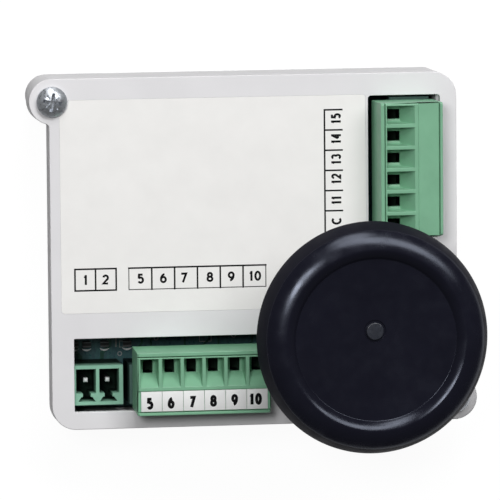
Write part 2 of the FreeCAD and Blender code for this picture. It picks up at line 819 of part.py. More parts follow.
def head_shell():
    """The black front of the head: a cup with a raised ring round a flat recess."""
    back = (head_back_radius, 0)
    rim_low = (head_radius, head_back_chamfer)
    rim_high = (head_radius, head_rim_height)
    band = (head_radius - (head_radius - head_shoulder_radius) / 2, head_rim_height + head_band_height)
    shoulder = (head_shoulder_radius, head_shoulder_height)
    crest = (head_crest_radius, head_crest_height)
    recess = (head_recess_radius, head_recess_height)
    half_way = ((head_shoulder_radius + head_crest_radius) / 2,
                head_shoulder_height + head_crown_bulge * (head_crest_height - head_shoulder_height))
    inner_way = (head_recess_radius + head_inner_bulge * (head_crest_radius - head_recess_radius),
                 (head_recess_height + head_crest_height) / 2)
    section = Part.Wire([
        head_line((0, 0), back), head_line(back, rim_low), head_line(rim_low, rim_high),
        head_arc(rim_high, band, shoulder), head_arc(shoulder, half_way, crest),
        head_arc(crest, inner_way, recess), head_line(recess, (0, head_recess_height)),
        head_line((0, head_recess_height), (0, 0))])
    solid = Part.Face(section).revolve(Vector(head_x, head_y, 0), Vector(0, 0, 1), 360)
    hollow = column(head_inner_radius, head_centre, head_back_z, head_back_z + head_inner_height)
    posts = [column(head_post_radius, place, head_post_low(), head_back_z + head_recess_height)
             for place in head_screw_places()]
    hole = column(guide_radius + guide_clearance, guide_centre, head_back_z, head_back_z + head_crest_height)
    groove_top = head_back_z + head_recess_height
    groove = column(guide_radius + guide_ring_width, guide_centre, groove_top - guide_ring_depth, groove_top)
    bores = [column(head_screw_radius, place, head_back_z, head_back_z + head_screw_length)
             for place in head_screw_places()]
    return cut(joined([solid.cut(hollow)] + posts), [hole, groove] + bores)


def head_post_low():
    """The level where the posts for the head's screws end, on the head's board."""
    return head_back_z + back_plate + head_board_above_back + head_board_thickness


def head_screw_places():
    """The places of the head's screws, evenly round its centre."""
    turns = [2 * math.pi * k / head_screw_count + head_screw_turn for k in range(head_screw_count)]
    return [(head_x + head_screw_circle * math.cos(turn), head_y + head_screw_circle * math.sin(turn))
            for turn in turns]


def head_back():
    """The back plate with the hollow boss that the head stands on."""
    plate = column(head_inner_radius - head_fit_gap, head_centre, head_back_z, head_back_z + back_plate)
    board_seat = head_back_z + back_plate + head_board_above_back
    boss = column(boss_radius, head_centre, boss_foot_z, board_seat)
    hollow = column(boss_radius - boss_wall, head_centre, boss_foot_z + boss_foot, board_seat)
    bore = column(grommet_bore, head_centre, boss_foot_z, head_back_z)
    tools = [hollow, bore]
    for place in head_screw_places():
        tools.append(column(head_screw_radius, place, head_back_z, head_back_z + back_plate))
        tools.append(column(head_screw_head_radius, place, head_back_z, head_back_z + head_screw_head_height))
    return cut(joined([plate, boss]), tools)


def head_screws():
    screws = []
    for place in head_screw_places():
        seat = head_back_z + head_screw_head_height
        head = column(head_screw_head_radius - head_fit_gap, place, head_back_z, seat)
        shank = column(head_screw_radius - guide_clearance, place, seat, head_back_z + head_screw_length)
        slot = block((2 * head_screw_head_radius, board_slot_width, board_slot_depth), place, head_back_z)
        screws.append(joined([head, shank]).cut(slot))
    return Part.makeCompound(screws)


def head_board():
    low = head_back_z + back_plate + head_board_above_back
    board = column(head_board_radius, head_centre, low, low + head_board_thickness)
    top = low + head_board_thickness
    holes = [column(board_hole_radius, place, low, top) for place in head_screw_places()]
    return cut(board, holes)


def light_guide():
    """The small stud above the centre, which carries the head's light from the board to the front."""
    low = head_post_low() + led_height + guide_above_led
    ceiling = head_back_z + head_inner_height
    top = head_back_z + head_recess_height + guide_proud
    flange = column(guide_flange_radius, guide_centre, ceiling - guide_flange, ceiling)
    stud = column(guide_radius, guide_centre, low, top)
    rim = [edge for edge in stud.Edges if edge.BoundBox.ZMin > top - same_length]
    return joined([flange, stud.makeFillet(guide_proud / 2, rim)])


def antenna_coil():
    """The winding under the front, between the board's edge and the wall."""
    ceiling = head_back_z + head_inner_height
    outer = column(coil_outer_radius, head_centre, ceiling - coil_height, ceiling)
    return outer.cut(column(coil_inner_radius, head_centre, ceiling - coil_height, ceiling))


def cable_grommet():
    """A rubber bush in the boss's foot, where the head's cable goes in."""
    low = boss_foot_z + grommet_recess
    top = boss_foot_z + boss_foot + grommet_lip
    neck = column(grommet_bore - guide_clearance, head_centre, low, top)
    lip = column(grommet_bore + grommet_lip, head_centre, boss_foot_z + boss_foot, top)
    return joined([neck, lip]).cut(column(grommet_hole, head_centre, low, top))


def reader_head():
    chip_place = (head_x - head_board_radius + reader_chip_from_edge, head_y)
    board_face = head_post_low()
    return {
        "head_shell": head_shell(),
        "head_back": head_back(),
        "head_screws": head_screws(),
        "head_board": head_board(),
        "reader_chip": block(reader_chip_size, chip_place, board_face),
        "head_led": column(led_radius, guide_centre, board_face, board_face + led_height),
        "light_guide": light_guide(),
        "antenna_coil": antenna_coil(),
        "cable_grommet": cable_grommet(),
    }


def clamps(name, place):
    """Screw and cage of every pole of one plug, numbered along the row."""
    found = {}
    for number, x in enumerate(pin_places(plug_poles, 0), start=1):
        found[f"{name}_clamp_screw_{number}"] = place(clamp_screw(x))
        found[f"{name}_clamp_cage_{number}"] = place(clamp_cage(x))
    return found


def place_reader(shape):
    return place_lower(shape, reader_centre_x)


def place_supply(shape):
    return place_lower(shape, supply_centre_x)


def all_pieces():
    pieces = {
        "base_shell": base_shell(),
        "front_cover": front_cover(),
        "label_sheet": label_sheet(),
        "lug_screws": lug_screws(),
        "circuit_board": circuit_board(),
        "board_screws": board_screws(),
        "supply_header": place_supply(header(supply_poles)),
        "supply_pins": place_supply(pins(supply_poles)),
        "reader_header": place_reader(header(plug_poles)),
        "reader_pins": place_reader(pins(plug_poles)),
        "relay_header": place_right(header(plug_poles)),
        "relay_pins": place_right(pins(plug_poles)),
        "reader_plug_body": place_reader(plug_body()),
        "reader_plug_contacts": place_reader(plug_contacts()),
        "reader_plug_markers": place_reader(marker_strip()),
        "relay_plug_body": place_right(plug_body()),
        "relay_plug_contacts": place_right(plug_contacts()),
    }
    pieces.update(electronics())
    pieces.update(clamps("reader", place_reader))
    pieces.update(clamps("relay", place_right))
    pieces.update(reader_head())
    return pieces


os.makedirs("parts", exist_ok=True)
for node, shape in all_pieces().items():
    shape.exportStep(os.path.join("parts", node + ".step"))
    print(f"{node}: {len(shape.Solids)} solids, {shape.Volume:.1f} mm3, valid {shape.isValid()}")
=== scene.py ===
import math

import bmesh
import bpy
from bpy.props import FloatProperty, FloatVectorProperty, PointerProperty
from bpy.types import Operator, Panel, PropertyGroup
from mathutils import Matrix, Vector


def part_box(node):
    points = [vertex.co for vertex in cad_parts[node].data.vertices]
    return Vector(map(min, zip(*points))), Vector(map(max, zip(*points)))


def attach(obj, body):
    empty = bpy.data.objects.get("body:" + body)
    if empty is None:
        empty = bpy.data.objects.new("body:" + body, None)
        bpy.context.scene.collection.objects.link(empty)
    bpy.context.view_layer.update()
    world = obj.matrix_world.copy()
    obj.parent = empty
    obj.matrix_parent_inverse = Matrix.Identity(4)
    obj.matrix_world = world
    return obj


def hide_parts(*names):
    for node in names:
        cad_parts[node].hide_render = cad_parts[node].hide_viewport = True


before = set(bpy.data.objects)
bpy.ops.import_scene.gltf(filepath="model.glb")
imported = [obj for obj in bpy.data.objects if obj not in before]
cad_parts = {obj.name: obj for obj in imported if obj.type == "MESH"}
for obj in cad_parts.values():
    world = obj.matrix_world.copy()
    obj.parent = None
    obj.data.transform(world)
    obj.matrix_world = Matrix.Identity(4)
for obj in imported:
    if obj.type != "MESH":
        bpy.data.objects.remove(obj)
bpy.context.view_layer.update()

bl_info = {
    "name": "Access Control Unit",
    "version": (1, 0, 0),
    "blender": (4, 5, 0),
    "location": "View3D > Sidebar > Access Unit",
    "description": "Finishes, printed numbers, screws, circuit board and reader head of the unit",
    "category": "Add Mesh",
}

MM = 0.001
WELD_GAP = 0.000001
SHARP_ANGLE = math.radians(32)
FLAT_ANGLE = math.radians(0.5)
FULL_TURN = 2 * math.pi
NOISE_MIDDLE = (0.3, 0.7)
HEAD_GLOSS = (0.75, 0.82, 1, 1)


# Settings that a user can change

def screen(*levels):
    """Linear light of a colour that a screen shows with levels from 0 to 255, by the usual screen curve."""
    shares = [level / 255 for level in levels]
    return [share / 12.92 if share <= 0.04045 else ((share + 0.055) / 1.055) ** 2.4 for share in shares]


def colour(name, description, *levels):
    """A colour setting, given by its screen levels."""
    return FloatVectorProperty(name=name, description=description, subtype="COLOR", size=3, min=0, max=1,
                               default=screen(*levels))


def length(name, description, millimetres):
    """A length setting, given in millimetres and kept in metres."""
    return FloatProperty(name=name, description=description, unit="LENGTH", default=millimetres * MM)


def angle(name, description, degrees):
    """An angle setting, given in degrees."""
    return FloatProperty(name=name, description=description, subtype="ANGLE", default=math.radians(degrees))


def amount(name, description, value):
    """A plain number setting."""
    return FloatProperty(name=name, description=description, min=0, default=value)


class UnitColours(PropertyGroup):
    """Colours of the unit's finishes"""
    cover: colour("Cover", "Moulded face plate and box", 223, 222, 224)
    label: colour("Label", "Printed sheet", 238, 237, 235)
    ink: colour("Ink", "Numbers and lines on the label", 16, 16, 18)
    plug: colour("Plug", "Moulded plugs", 120, 172, 140)
    header: colour("Header", "Moulded header of the supply", 130, 178, 155)
    # The headers under the plugs take the header's green made much darker: painted shade where the plugs and
    # the window's edge shade them.
    covered_header: colour("Covered header", "Moulded headers under the plugs", 70, 98, 92)
    marker: colour("Marker", "Marker strip on the lower plug", 229, 230, 229)
    marker_ink: colour("Marker ink", "Numbers on the marker strip", 10, 10, 12)
    mask: colour("Solder mask", "Lacquer over the circuit board", 70, 106, 116)
    track: colour("Track", "Copper under the lacquer", 40, 98, 80)
    legend: colour("Legend", "Outlines printed on the circuit board", 150, 156, 152)
    solder: colour("Solder", "Solder and tinned metal", 205, 208, 210)
    steel: colour("Steel", "Plated screws", 190, 194, 200)
    # The clamps and contacts are plated metal made nearly black: painted shade that keeps the plugs' wire
    # holes dark.
    clamp: colour("Clamp", "Dark plated clamps and contacts", 26, 28, 32)
    head: colour("Reader head", "Black moulded front", 20, 20, 30)
    guide: colour("Light guide", "Smoked stud in the reader head", 49, 52, 61)
    chip_part: colour("Chip part", "Bodies of the small chip parts", 30, 30, 32)
    bright_solder: colour("Bright solder", "Solder in front of the chip parts", 252, 252, 252)
    relay: colour("Relay", "Case of the door relay", 34, 36, 42)
    can: colour("Can", "Cans of the capacitors", 196, 198, 200)
    # The solder in front of the chip parts is near white: a painted highlight that stands in for the glints
    # on it.
    package: colour("Package", "Moulded packages of the chips", 36, 36, 38)
    crystal: colour("Crystal", "Can of the crystal", 206, 206, 204)
    varistor: colour("Varistor", "Lacquer of the varistors", 52, 92, 150)
    lens: colour("Lens", "Lens of the reader head's lamp", 225, 226, 222)
    coil: colour("Coil", "Enamelled wire of the aerial", 184, 112, 70)
    rubber: colour("Rubber", "Grommet of the cable", 34, 34, 36)


class PrintSizes(PropertyGroup):
    """Sizes of the printed numbers"""
    height: length("Number height", "Height of the label's numbers", 2.35)
    width: length("Number width", "Width of one of the label's digits", 1.6)
    stroke: length("Number stroke", "Stroke of the label's numbers", 0.5)
    gap: length("Number gap", "Gap between two digits", 0.22)
    column_width: length("Column width", "Width of one of the upright column's digits", 1.3)
    line: length("Line", "Width of the label's lines", 0.38)
    thin_line: length("Thin line", "Width of the label's thin lines", 0.2)
    ink: length("Ink", "Thickness of the printed ink", 0.012)
    overlay: length("Overlay", "How much a second stroke of a number lies higher than the first", 0.003)
    marker_height: length("Marker height", "Height of the marker strip's numbers", 2.75)
    marker_width: length("Marker width", "Width of one of the marker strip's digits", 1.6)
    marker_stroke: length("Marker stroke", "Stroke of the marker strip's numbers", 0.7)
    marker_cell: length("Marker cell", "Distance from one marker to the next", 4.93)
    marker_gap: length("Marker gap", "Gap between two markers", 0.1)
    marker_shift: length("Marker shift", "How far the numbers stand left of their markers' middles", 0.4)
    marker_drop: length("Marker drop", "How far the first number stands below its marker's middle", 0.42)
    marker_rise: length("Marker rise", "How much higher each further number stands", 0.085)


class ScrewSizes(PropertyGroup):
    """Sizes of the screws in the lugs"""
    rim: length("Rim", "Height of the head's round edge", 0.8)
    arm: length("Arm", "Half length of the cross recess", 2.5)
    slot: length("Slot", "Width of the cross recess", 0.95)
    depth: length("Depth", "Depth of the cross recess", 1.5)
    tick: length("Tick", "Length of the small marks between the arms", 1.2)
    tick_width: length("Tick width", "Width of the small marks between the arms", 0.35)
    tick_depth: length("Tick depth", "Depth of the small marks below the top of the head", 1.1)
    pitch: length("Pitch", "Rise of the thread in one turn", 1.3)
    core: length("Core", "Radius of the thread's core", 1.3)
    turn: angle("Turn", "How far both screws are turned", -10)


class HeadSizes(PropertyGroup):
    """Sizes of the reader head's front"""
    edge: length("Edge", "Height of the upright rim", 1.1)
    chamfer: length("Chamfer", "Chamfer at the back edge", 0.5)
    band: length("Band", "Width of the sloping band outside the shoulder", 1.6)
    band_rise: length("Band rise", "Height at which the band is half way in", 3.9)
    shoulder: length("Shoulder", "Height of the shoulder", 5.6)
    crest_width: length("Crest width", "Width from the shoulder to the crest", 4.4)
    crest: length("Crest", "Height of the crest", 7.7)
    slope: length("Slope", "Width of the slope from the crest to the recess", 2.2)
    recess: length("Recess", "Height of the flat recess", 6.3)
    wall: length("Wall", "Thickness of the outer wall", 2.4)
    ceiling: length("Ceiling", "Height of the hollow behind the front", 4.7)
    groove: length("Groove", "Depth of the groove round the light guide", 0.25)
    groove_width: length("Groove width", "Width of the groove round the light guide", 0.5)


class CameraPlace(PropertyGroup):
    """Place of the camera"""
    left: angle("Left", "How far the camera stands left of the face's normal", 8.49)
    above: angle("Above", "How far the camera stands above the face's normal", 6.12)
    roll: angle("Roll", "Turn of the camera about its own axis", -0.47)
    distance: length("Distance", "Distance from the face", 1371)
    across: length("Across", "Place on the face that it looks at, across", -1.12)
    up: length("Up", "Place on the face that it looks at, upwards", 0.15)
    lens: amount("Lens", "Focal length in millimetres", 426.1)


class StudioLight(PropertyGroup):
    """Light and floor of the studio"""
    sky: amount("Sky", "Strength of the even light", 0.08)
    distance: length("Lamp distance", "Distance of each lamp", 1200)
    key_power: amount("Key lamp power", "Power of the wide key lamp in watts", 9.6)
    key_width: length("Key lamp width", "Width of the key lamp", 1300)
    key_depth: length("Key lamp depth", "Other size of the key lamp", 450)
    key_lean: angle("Key lamp lean", "How far the key lamp leans from straight above the face", 42)
    key_turn: angle("Key lamp turn", "Turn of the key lamp from the top side to the right", 25)
    front_power: amount("Front lamp power", "Power of the front lamp in watts", 5.1)
    front_size: length("Front lamp size", "Width of the round front lamp", 340)
    front_lean: angle("Front lamp lean", "How far the front lamp leans from straight above the face", 24)
    front_turn: angle("Front lamp turn", "Turn of the front lamp from the top side to the right", -52)
    top_power: amount("Top lamp power", "Power of the top lamp in watts", 3.6)
    top_size: length("Top lamp size", "Width of the round top lamp", 500)
    top_lean: angle("Top lamp lean", "How far the top lamp leans from straight above the face", 62)
    top_turn: angle("Top lamp turn", "Turn of the top lamp from the top side to the right", -4)
    floor: length("Floor", "Radius of the floor", 6000)
    floor_grey: amount("Floor grey", "How much light the floor throws back", 0.08)
    floor_white: amount("Floor white", "How much white is added where the floor is seen", 0.95)


GROUPS = {"unit_colours": UnitColours, "unit_print": PrintSizes, "unit_screws": ScrewSizes,
          "unit_head": HeadSizes, "unit_camera": CameraPlace, "unit_light": StudioLight}


# Materials

def shade(tint, share):
    """A colour made lighter or darker by a share."""
    return [min(1, level * (1 + share)) for level in tint]


class Recipe:
    """One material with its shader, its object coordinates and the nodes that are added to them."""

    def __init__(self, name, tint, roughness, specular=0.5, metallic=0.0):
        self.material = bpy.data.materials.new(name)
        self.material.use_nodes = True
        self.tint = tint
        self.roughness = roughness
        self.nodes = self.material.node_tree.nodes
        self.shader = self.nodes["Principled BSDF"]
        self.fill(self.shader, {"Base Color": (*tint, 1), "Roughness": roughness,
                                "Specular IOR Level": specular, "Metallic": metallic})
        self.place = self.add("TexCoord").outputs["Object"]

    def add(self, kind, inputs=None, **options):
        """Adds a node with its options, and fills its inputs."""
        node = self.nodes.new("ShaderNode" + kind)
        for name, option in options.items():
            setattr(node, name, option)
        self.fill(node, inputs or {})
        return node

    def fill(self, node, inputs):
        """Sets inputs to their values, or links them to outputs or to the first output of a node."""
        for name, value in inputs.items():
            if isinstance(value, bpy.types.Node):
                value = value.outputs[0]
            if isinstance(value, bpy.types.NodeSocket):
                self.material.node_tree.links.new(value, node.inputs[name])
            else:
                node.inputs[name].default_value = value

    def combine(self, operation, first, second):
        """A sum, product or like of two outputs, or of an output and a number."""
        return self.add("Math", {0: first, 1: second}, operation=operation)

    def noise(self, size, detail=2, stretch=(1, 1, 1)):
        """Noise with patches of about one size, in millimetres, which can be stretched."""
        scale = [1 / (size * MM * share) for share in stretch]
        mapping = self.add("Mapping", {"Vector": self.place, "Scale": scale})
        return self.add("TexNoise", {"Vector": mapping, "Scale": 1, "Detail": detail})

    def mottle(self, factor, dark, light, lit=None):
        """Colours the surface from its tint made darker to its tint, or another, made lighter."""
        ramp = self.add("ValToRGB", {"Fac": factor})
        tints = (shade(self.tint, -dark), shade(lit or self.tint, light))
        for end, position, tint in zip(ramp.color_ramp.elements, NOISE_MIDDLE, tints):
            end.position = position
            end.color = (*tint, 1)
        self.fill(self.shader, {"Base Color": ramp})

    def roughen(self, factor, less, more):
        """Varies the roughness by the middle of a noise's range."""
        low, high = NOISE_MIDDLE
        spread = self.add("MapRange", {"Value": factor, "From Min": low, "From Max": high,
                                       "To Min": self.roughness - less, "To Max": self.roughness + more})
        self.fill(self.shader, {"Roughness": spread})

    def bump(self, factor, depth, strength=1.0):
        """Adds relief of a given depth, in millimetres, over any relief that is there."""
        inputs = {"Height": factor, "Distance": depth * MM, "Strength": strength}
        normal = self.shader.inputs["Normal"]
        if normal.is_linked:
            inputs["Normal"] = normal.links[0].from_socket
        self.fill(self.shader, {"Normal": self.add("Bump", inputs)})

    def outside(self, low, high):
        """One outside an upright box that is given by two corners, and zero inside it."""
        half = (high - low) / 2
        centre = (low + high) / 2
        mapping = self.add("Mapping", {"Vector": self.place, "Scale": [1 / side for side in half],
                                       "Location": [-place / side for place, side in zip(centre, half)]})
        away = self.add("VectorMath", {0: mapping}, operation="ABSOLUTE")
        sides = self.add("SeparateXYZ", {"Vector": away}).outputs
        level = self.combine("MAXIMUM", sides["X"], sides["Y"])
        return self.combine("GREATER_THAN", self.combine("MAXIMUM", level, sides["Z"]), 1)

    def darken_below(self, high, low, share, box=None):
        """Darkens the surface's colour and gloss from one height down to another, to a share of themselves.

        With a box, this happens only inside it: outside it the height counts as one metre more.
        """
        height = self.add("SeparateXYZ", {"Vector": self.place}).outputs["Z"]
        if box:
            height = self.combine("ADD", height, self.outside(*box))
        depth = self.add("MapRange", {"Value": height, "From Min": low, "From Max": high, "To Min": share})
        tint = self.shader.inputs["Base Color"].links[0].from_socket
        darker = self.add("VectorMath", {0: tint, "Scale": depth}, operation="SCALE")
        gloss = self.combine("MULTIPLY", depth, self.shader.inputs["Specular IOR Level"].default_value)
        self.fill(self.shader, {"Base Color": darker, "Specular IOR Level": gloss})


def moulded(name, tint, roughness, specular=0.5, patch=9.0, variation=0.035, grain=0.28, depth=0.006,
            painted_shade=None):
    """Moulded plastic: faint flow patches, uneven gloss and a fine grain. It can darken in hollows."""
    recipe = Recipe(name, tint, roughness, specular)
    recipe.mottle(recipe.noise(patch, detail=3), dark=variation, light=variation)
    recipe.roughen(recipe.noise(patch / 4), less=0.05, more=0.07)
    recipe.bump(recipe.noise(grain), depth)
    recipe.bump(recipe.noise(patch / 2, detail=1), depth * 2, strength=0.5)
    if painted_shade:
        recipe.darken_below(**painted_shade)
    return recipe.material


def sheet_film(name, tint):
    """Printed film: satin, with a slight wave and faint fibres."""
    recipe = Recipe(name, tint, roughness=0.42)
    recipe.mottle(recipe.noise(6, detail=4), dark=0.02, light=0.015)
    recipe.roughen(recipe.noise(2.5, detail=3), less=0.04, more=0.08)
    recipe.bump(recipe.noise(14, detail=1), depth=0.05)
    recipe.bump(recipe.noise(0.35, stretch=(2.5, 1, 1)), depth=0.003)
    return recipe.material


def printed_ink(name, tint):
    """Ink with a little unevenness in its cover."""
    recipe = Recipe(name, tint, roughness=0.75, specular=0.12)
    recipe.mottle(recipe.noise(0.5, detail=3), dark=0.2, light=0.3)
    recipe.bump(recipe.noise(0.2), depth=0.003)
    return recipe.material


def plated(name, tint, roughness, patch=1.2, brush=(1, 1, 1), metallic=1.0, painted_shade=None):
    """Plated metal with fine marks and duller patches, less metallic where it is oxidised."""
    recipe = Recipe(name, tint, roughness, metallic=metallic)
    recipe.mottle(recipe.noise(patch, detail=3), dark=0.12, light=0.08)
    recipe.roughen(recipe.noise(patch / 2, detail=3, stretch=brush), less=0.07, more=0.12)
    recipe.bump(recipe.noise(0.12, stretch=brush), depth=0.004)
    if painted_shade:
        recipe.darken_below(**painted_shade)
    return recipe.material


def lacquered_board(name, tint, copper):
    """Glass weave and copper runs that show faintly through dark solder lacquer."""
    copper_share = 0.4
    recipe = Recipe(name, tint, roughness=0.32)
    through = [level * (1 - copper_share) + other * copper_share for level, other in zip(tint, copper)]
    recipe.mottle(recipe.noise(0.55, detail=3, stretch=(1, 2.5, 1)), dark=0.45, light=0, lit=through)
    recipe.roughen(recipe.noise(0.8), less=0.07, more=0.1)
    for stretch in ((4, 1, 1), (1, 4, 1)):
        recipe.bump(recipe.noise(0.45, detail=0, stretch=stretch), depth=0.006)
    return recipe.material


def soft_rubber(name, tint):
    """Matt rubber with a powdery bloom."""
    recipe = Recipe(name, tint, roughness=0.8, specular=0.3)
    recipe.mottle(recipe.noise(0.9, detail=4), dark=0.2, light=0.5)
    recipe.bump(recipe.noise(0.15), depth=0.01)
    return recipe.material


def enamelled_wire(name, tint, centre, pitch):
    """Fine enamelled turns round an upright axis."""
    waves_per_unit = 20
    recipe = Recipe(name, tint, roughness=0.25, metallic=1.0)
    shift = recipe.add("Mapping", {"Vector": recipe.place, "Location": (-centre[0], -centre[1], 0)})
    waves = {"Vector": shift, "Scale": 1 / (pitch * MM) / waves_per_unit, "Distortion": 0.4}
    wave = recipe.add("TexWave", waves, wave_type="RINGS", rings_direction="Z").outputs["Fac"]
    recipe.mottle(wave, dark=0.6, light=0.1)
    recipe.bump(wave, depth=pitch / 3)
    return recipe.material


def clear_resin(name, tint, roughness, transmission):
    """Clear or smoked resin, slightly cloudy."""
    recipe = Recipe(name, tint, roughness)
    recipe.fill(recipe.shader, {"Transmission Weight": transmission})
    recipe.mottle(recipe.noise(0.8, detail=3), dark=0.15, light=0.15)
    recipe.roughen(recipe.noise(0.5), less=0.05, more=0.1)
    recipe.bump(recipe.noise(0.2), depth=0.003)
    return recipe.material


# Mesh helpers

class Shell:
    """The points and faces of one piece as it is built up."""

    def __init__(self):
        self.points = []
        self.faces = []

    def ring(self, points):
        """Adds a row of points and gives their numbers."""
        first = len(self.points)
        self.points += [tuple(point) for point in points]
        return list(range(first, len(self.points)))

    def bridge(self, first, second):
        """Joins two closed rows of the same count by faces."""
        for k in range(len(first)):
            after = (k + 1) % len(first)
            self.faces.append((first[k], first[after], second[after], second[k]))

    def loft(self, rings):
        """Joins several closed rows of points, one after another."""
        rows = [self.ring(points) for points in rings]
        for first, second in zip(rows, rows[1:]):
            self.bridge(first, second)
        return rows

    def solid(self, rings):
        """Joins several closed rows of points and closes both ends."""
        rows = self.loft(rings)
        self.faces += [tuple(rows[0][::-1]), tuple(rows[-1])]

    def prism(self, outline, low, high):
        """An upright block on an outline that is drawn anticlockwise."""
        self.solid([[(x, y, level) for x, y in outline] for level in (low, high)])

    def mesh(self, name):
        """The finished mesh, with its faces turned outwards."""
        mesh = bpy.data.meshes.new(name)
        mesh.from_pydata(self.points, [], self.faces)
        work = bmesh.new()
        work.from_mesh(mesh)
        bmesh.ops.recalc_face_normals(work, faces=work.faces)
        work.to_mesh(mesh)
        work.free()
        return mesh

    def piece(self, name, material, body):
        """Puts the mesh into the scene as a piece that rides on a body."""
        return place_mesh(self.mesh(name), name, material, body)


def place_mesh(mesh, name, material, body):
    """A piece made of a mesh, smooth but for its sharp edges."""
    piece = bpy.data.objects.new(name, mesh)
    bpy.context.scene.collection.objects.link(piece)
    mesh.materials.append(material)
    smooth_faces(mesh)
    mesh.set_sharp_from_angle(angle=SHARP_ANGLE)
    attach(piece, body)
    return piece


def smooth_faces(mesh):
    """Marks every face as smooth."""
    mesh.polygons.foreach_set("use_smooth", [True] * len(mesh.polygons))


def circle(centre, radius, height, count):
    """Points round an upright axis."""
    turns = [FULL_TURN * k / count for k in range(count)]
    return [(centre[0] + radius * math.cos(turn), centre[1] + radius * math.sin(turn), height)
            for turn in turns]


def arc_through(first, middle, last, steps):
    """Points on the arc through three points of a flat section, without the first."""
    (ax, ay), (bx, by), (cx, cy) = first, middle, last
    twice = 2 * (ax * (by - cy) + bx * (cy - ay) + cx * (ay - by))
    squares = ax * ax + ay * ay, bx * bx + by * by, cx * cx + cy * cy
    x = (squares[0] * (by - cy) + squares[1] * (cy - ay) + squares[2] * (ay - by)) / twice
    y = (squares[0] * (cx - bx) + squares[1] * (ax - cx) + squares[2] * (bx - ax)) / twice
    radius = math.hypot(ax - x, ay - y)
    start, through, end = (math.atan2(q - y, p - x) for p, q in (first, middle, last))
    turn = (end - start) % FULL_TURN
    if (through - start) % FULL_TURN > turn:
        turn -= FULL_TURN
    return [(x + radius * math.cos(start + turn * k / steps), y + radius * math.sin(start + turn * k / steps))
            for k in range(1, steps + 1)]


def rounded_corner(before, corner, after, radius, steps=4):
    """Points that round the corner of a flat section."""
    back = (Vector(before) - Vector(corner)).normalized()
    forth = (Vector(after) - Vector(corner)).normalized()
    half = back.angle(forth) / 2
    reach = radius / math.tan(half)
    start = Vector(corner) + back * reach
    end = Vector(corner) + forth * reach
    centre = Vector(corner) + (back + forth).normalized() * radius / math.sin(half)
    middle = centre + (Vector(corner) - centre).normalized() * radius
    return [tuple(start)] + arc_through(tuple(start), tuple(middle), tuple(end), steps)


def solids_of(node):
    """Lowest and highest corner of each separate solid of a node, in metres, from left to right."""
    places = 5
    work = bmesh.new()
    work.from_mesh(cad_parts[node].data)
    bmesh.ops.remove_doubles(work, verts=work.verts, dist=WELD_GAP)
    waiting = set(work.verts)
    found = []
    while waiting:
        grown = [waiting.pop()]
        for point in grown:
            near = [edge.other_vert(point) for edge in point.link_edges]
            fresh = [other for other in near if other in waiting]
            waiting.difference_update(fresh)
            grown += fresh
        low = Vector([min(point.co[axis] for point in grown) for axis in range(3)])
        high = Vector([max(point.co[axis] for point in grown) for axis in range(3)])
        found.append((low, high))
    work.free()
    return sorted(found, key=lambda pair: (round(pair[0].x, places), round(pair[0].y, places)))


def dress(node, material, edge=0.0, segments=2):
    """Gives a solid its finish and, where an edge size in millimetres is given, softens its edges."""
    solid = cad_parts[node]
    mesh = solid.data
    for slot in solid.material_slots:
        slot.material = material
    if not edge:
        return
    for name in ("custom_normal", "sharp_face", "sharp_edge"):
        if name in mesh.attributes:
            mesh.attributes.remove(mesh.attributes[name])
    smooth_faces(mesh)
    weld = solid.modifiers.new("joined_points", "WELD")
    weld.merge_threshold = WELD_GAP
    flat = solid.modifiers.new("whole_faces", "DECIMATE")
    flat.decimate_type = "DISSOLVE"
    flat.angle_limit = FLAT_ANGLE
    bevel = solid.modifiers.new("soft_edges", "BEVEL")
    bevel.width = edge * MM
    bevel.segments = segments
    bevel.limit_method = "ANGLE"
    bevel.angle_limit = SHARP_ANGLE
    bevel.use_clamp_overlap = False
    bevel.harden_normals = True


def carved(mesh, cutter, name):
    """A mesh with another taken out of it."""
    blank = bpy.data.objects.new(name, mesh)
    tool = bpy.data.objects.new(name + "_tool", cutter)
    for item in (blank, tool):
        bpy.context.scene.collection.objects.link(item)
    cut = blank.modifiers.new("recess", "BOOLEAN")
    cut.operation = "DIFFERENCE"
    cut.solver = "EXACT"
    cut.object = tool
    bpy.context.view_layer.update()
    result = bpy.data.meshes.new_from_object(blank.evaluated_get(bpy.context.evaluated_depsgraph_get()))
    for item in (blank, tool):
        bpy.data.objects.remove(item)
    if not result.polygons:
        raise RuntimeError(f"nothing is left of {name} after its recess was cut")
    return result


# Printed strokes

def oval(x, y, half_width, half_height, start, end, steps=20):
    """Points on an oval from one angle to another, in degrees."""
    turns = [math.radians(start + (end - start) * k / steps) for k in range(steps + 1)]
    return [(x + half_width * math.cos(turn), y + half_height * math.sin(turn)) for turn in turns]


def glyph(sign):
    """Strokes of a sign between -1 and 1 across and 0 and 1 upwards, each with whether it closes."""
    six = [(oval(0, 0.32, 1, 0.32, 0, 360), True),
           (oval(0.75, 0.32, 1.75, 0.68, 180, 98, 12), False)]
    strokes = {
        "0": [(oval(0, 0.5, 1, 0.5, 0, 360), True)],
        "1": [([(0.15, 1.12), (0.15, -0.12)], False), ([(-0.9, 0.74), (0.15, 0.98)], False)],
        "2": [(oval(0, 0.71, 0.95, 0.29, 168, -38) + [(-1, 0), (1, 0)], False)],
        "3": [(oval(0, 0.755, 0.88, 0.245, 155, -80), False), (oval(0, 0.27, 1, 0.27, 80, -155), False)],
        "4": [([(0.45, -0.12), (0.45, 1.12)], False), ([(0.45, 1.02), (-1.3, 0.26)], False),
              ([(-1.3, 0.26), (1.1, 0.26)], False)],
        "5": [([(0.85, 1), (-0.66, 1), (-0.8, 0.52)], False), (oval(-0.02, 0.32, 1, 0.32, 142, -150), False)],
        "6": six,
        "7": [([(-1.1, 1), (1, 1), (-0.4, -0.1)], False)],
        "8": [(oval(0, 0.755, 0.84, 0.245, 0, 360), True), (oval(0, 0.27, 1, 0.27, 0, 360), True)],
        "9": [([(-x, 1 - y) for x, y in points], closed) for points, closed in six],
        "C": [(oval(0.45, 0.5, 1.75, 0.5, 50, 310), False)],
    }
    return strokes[sign]


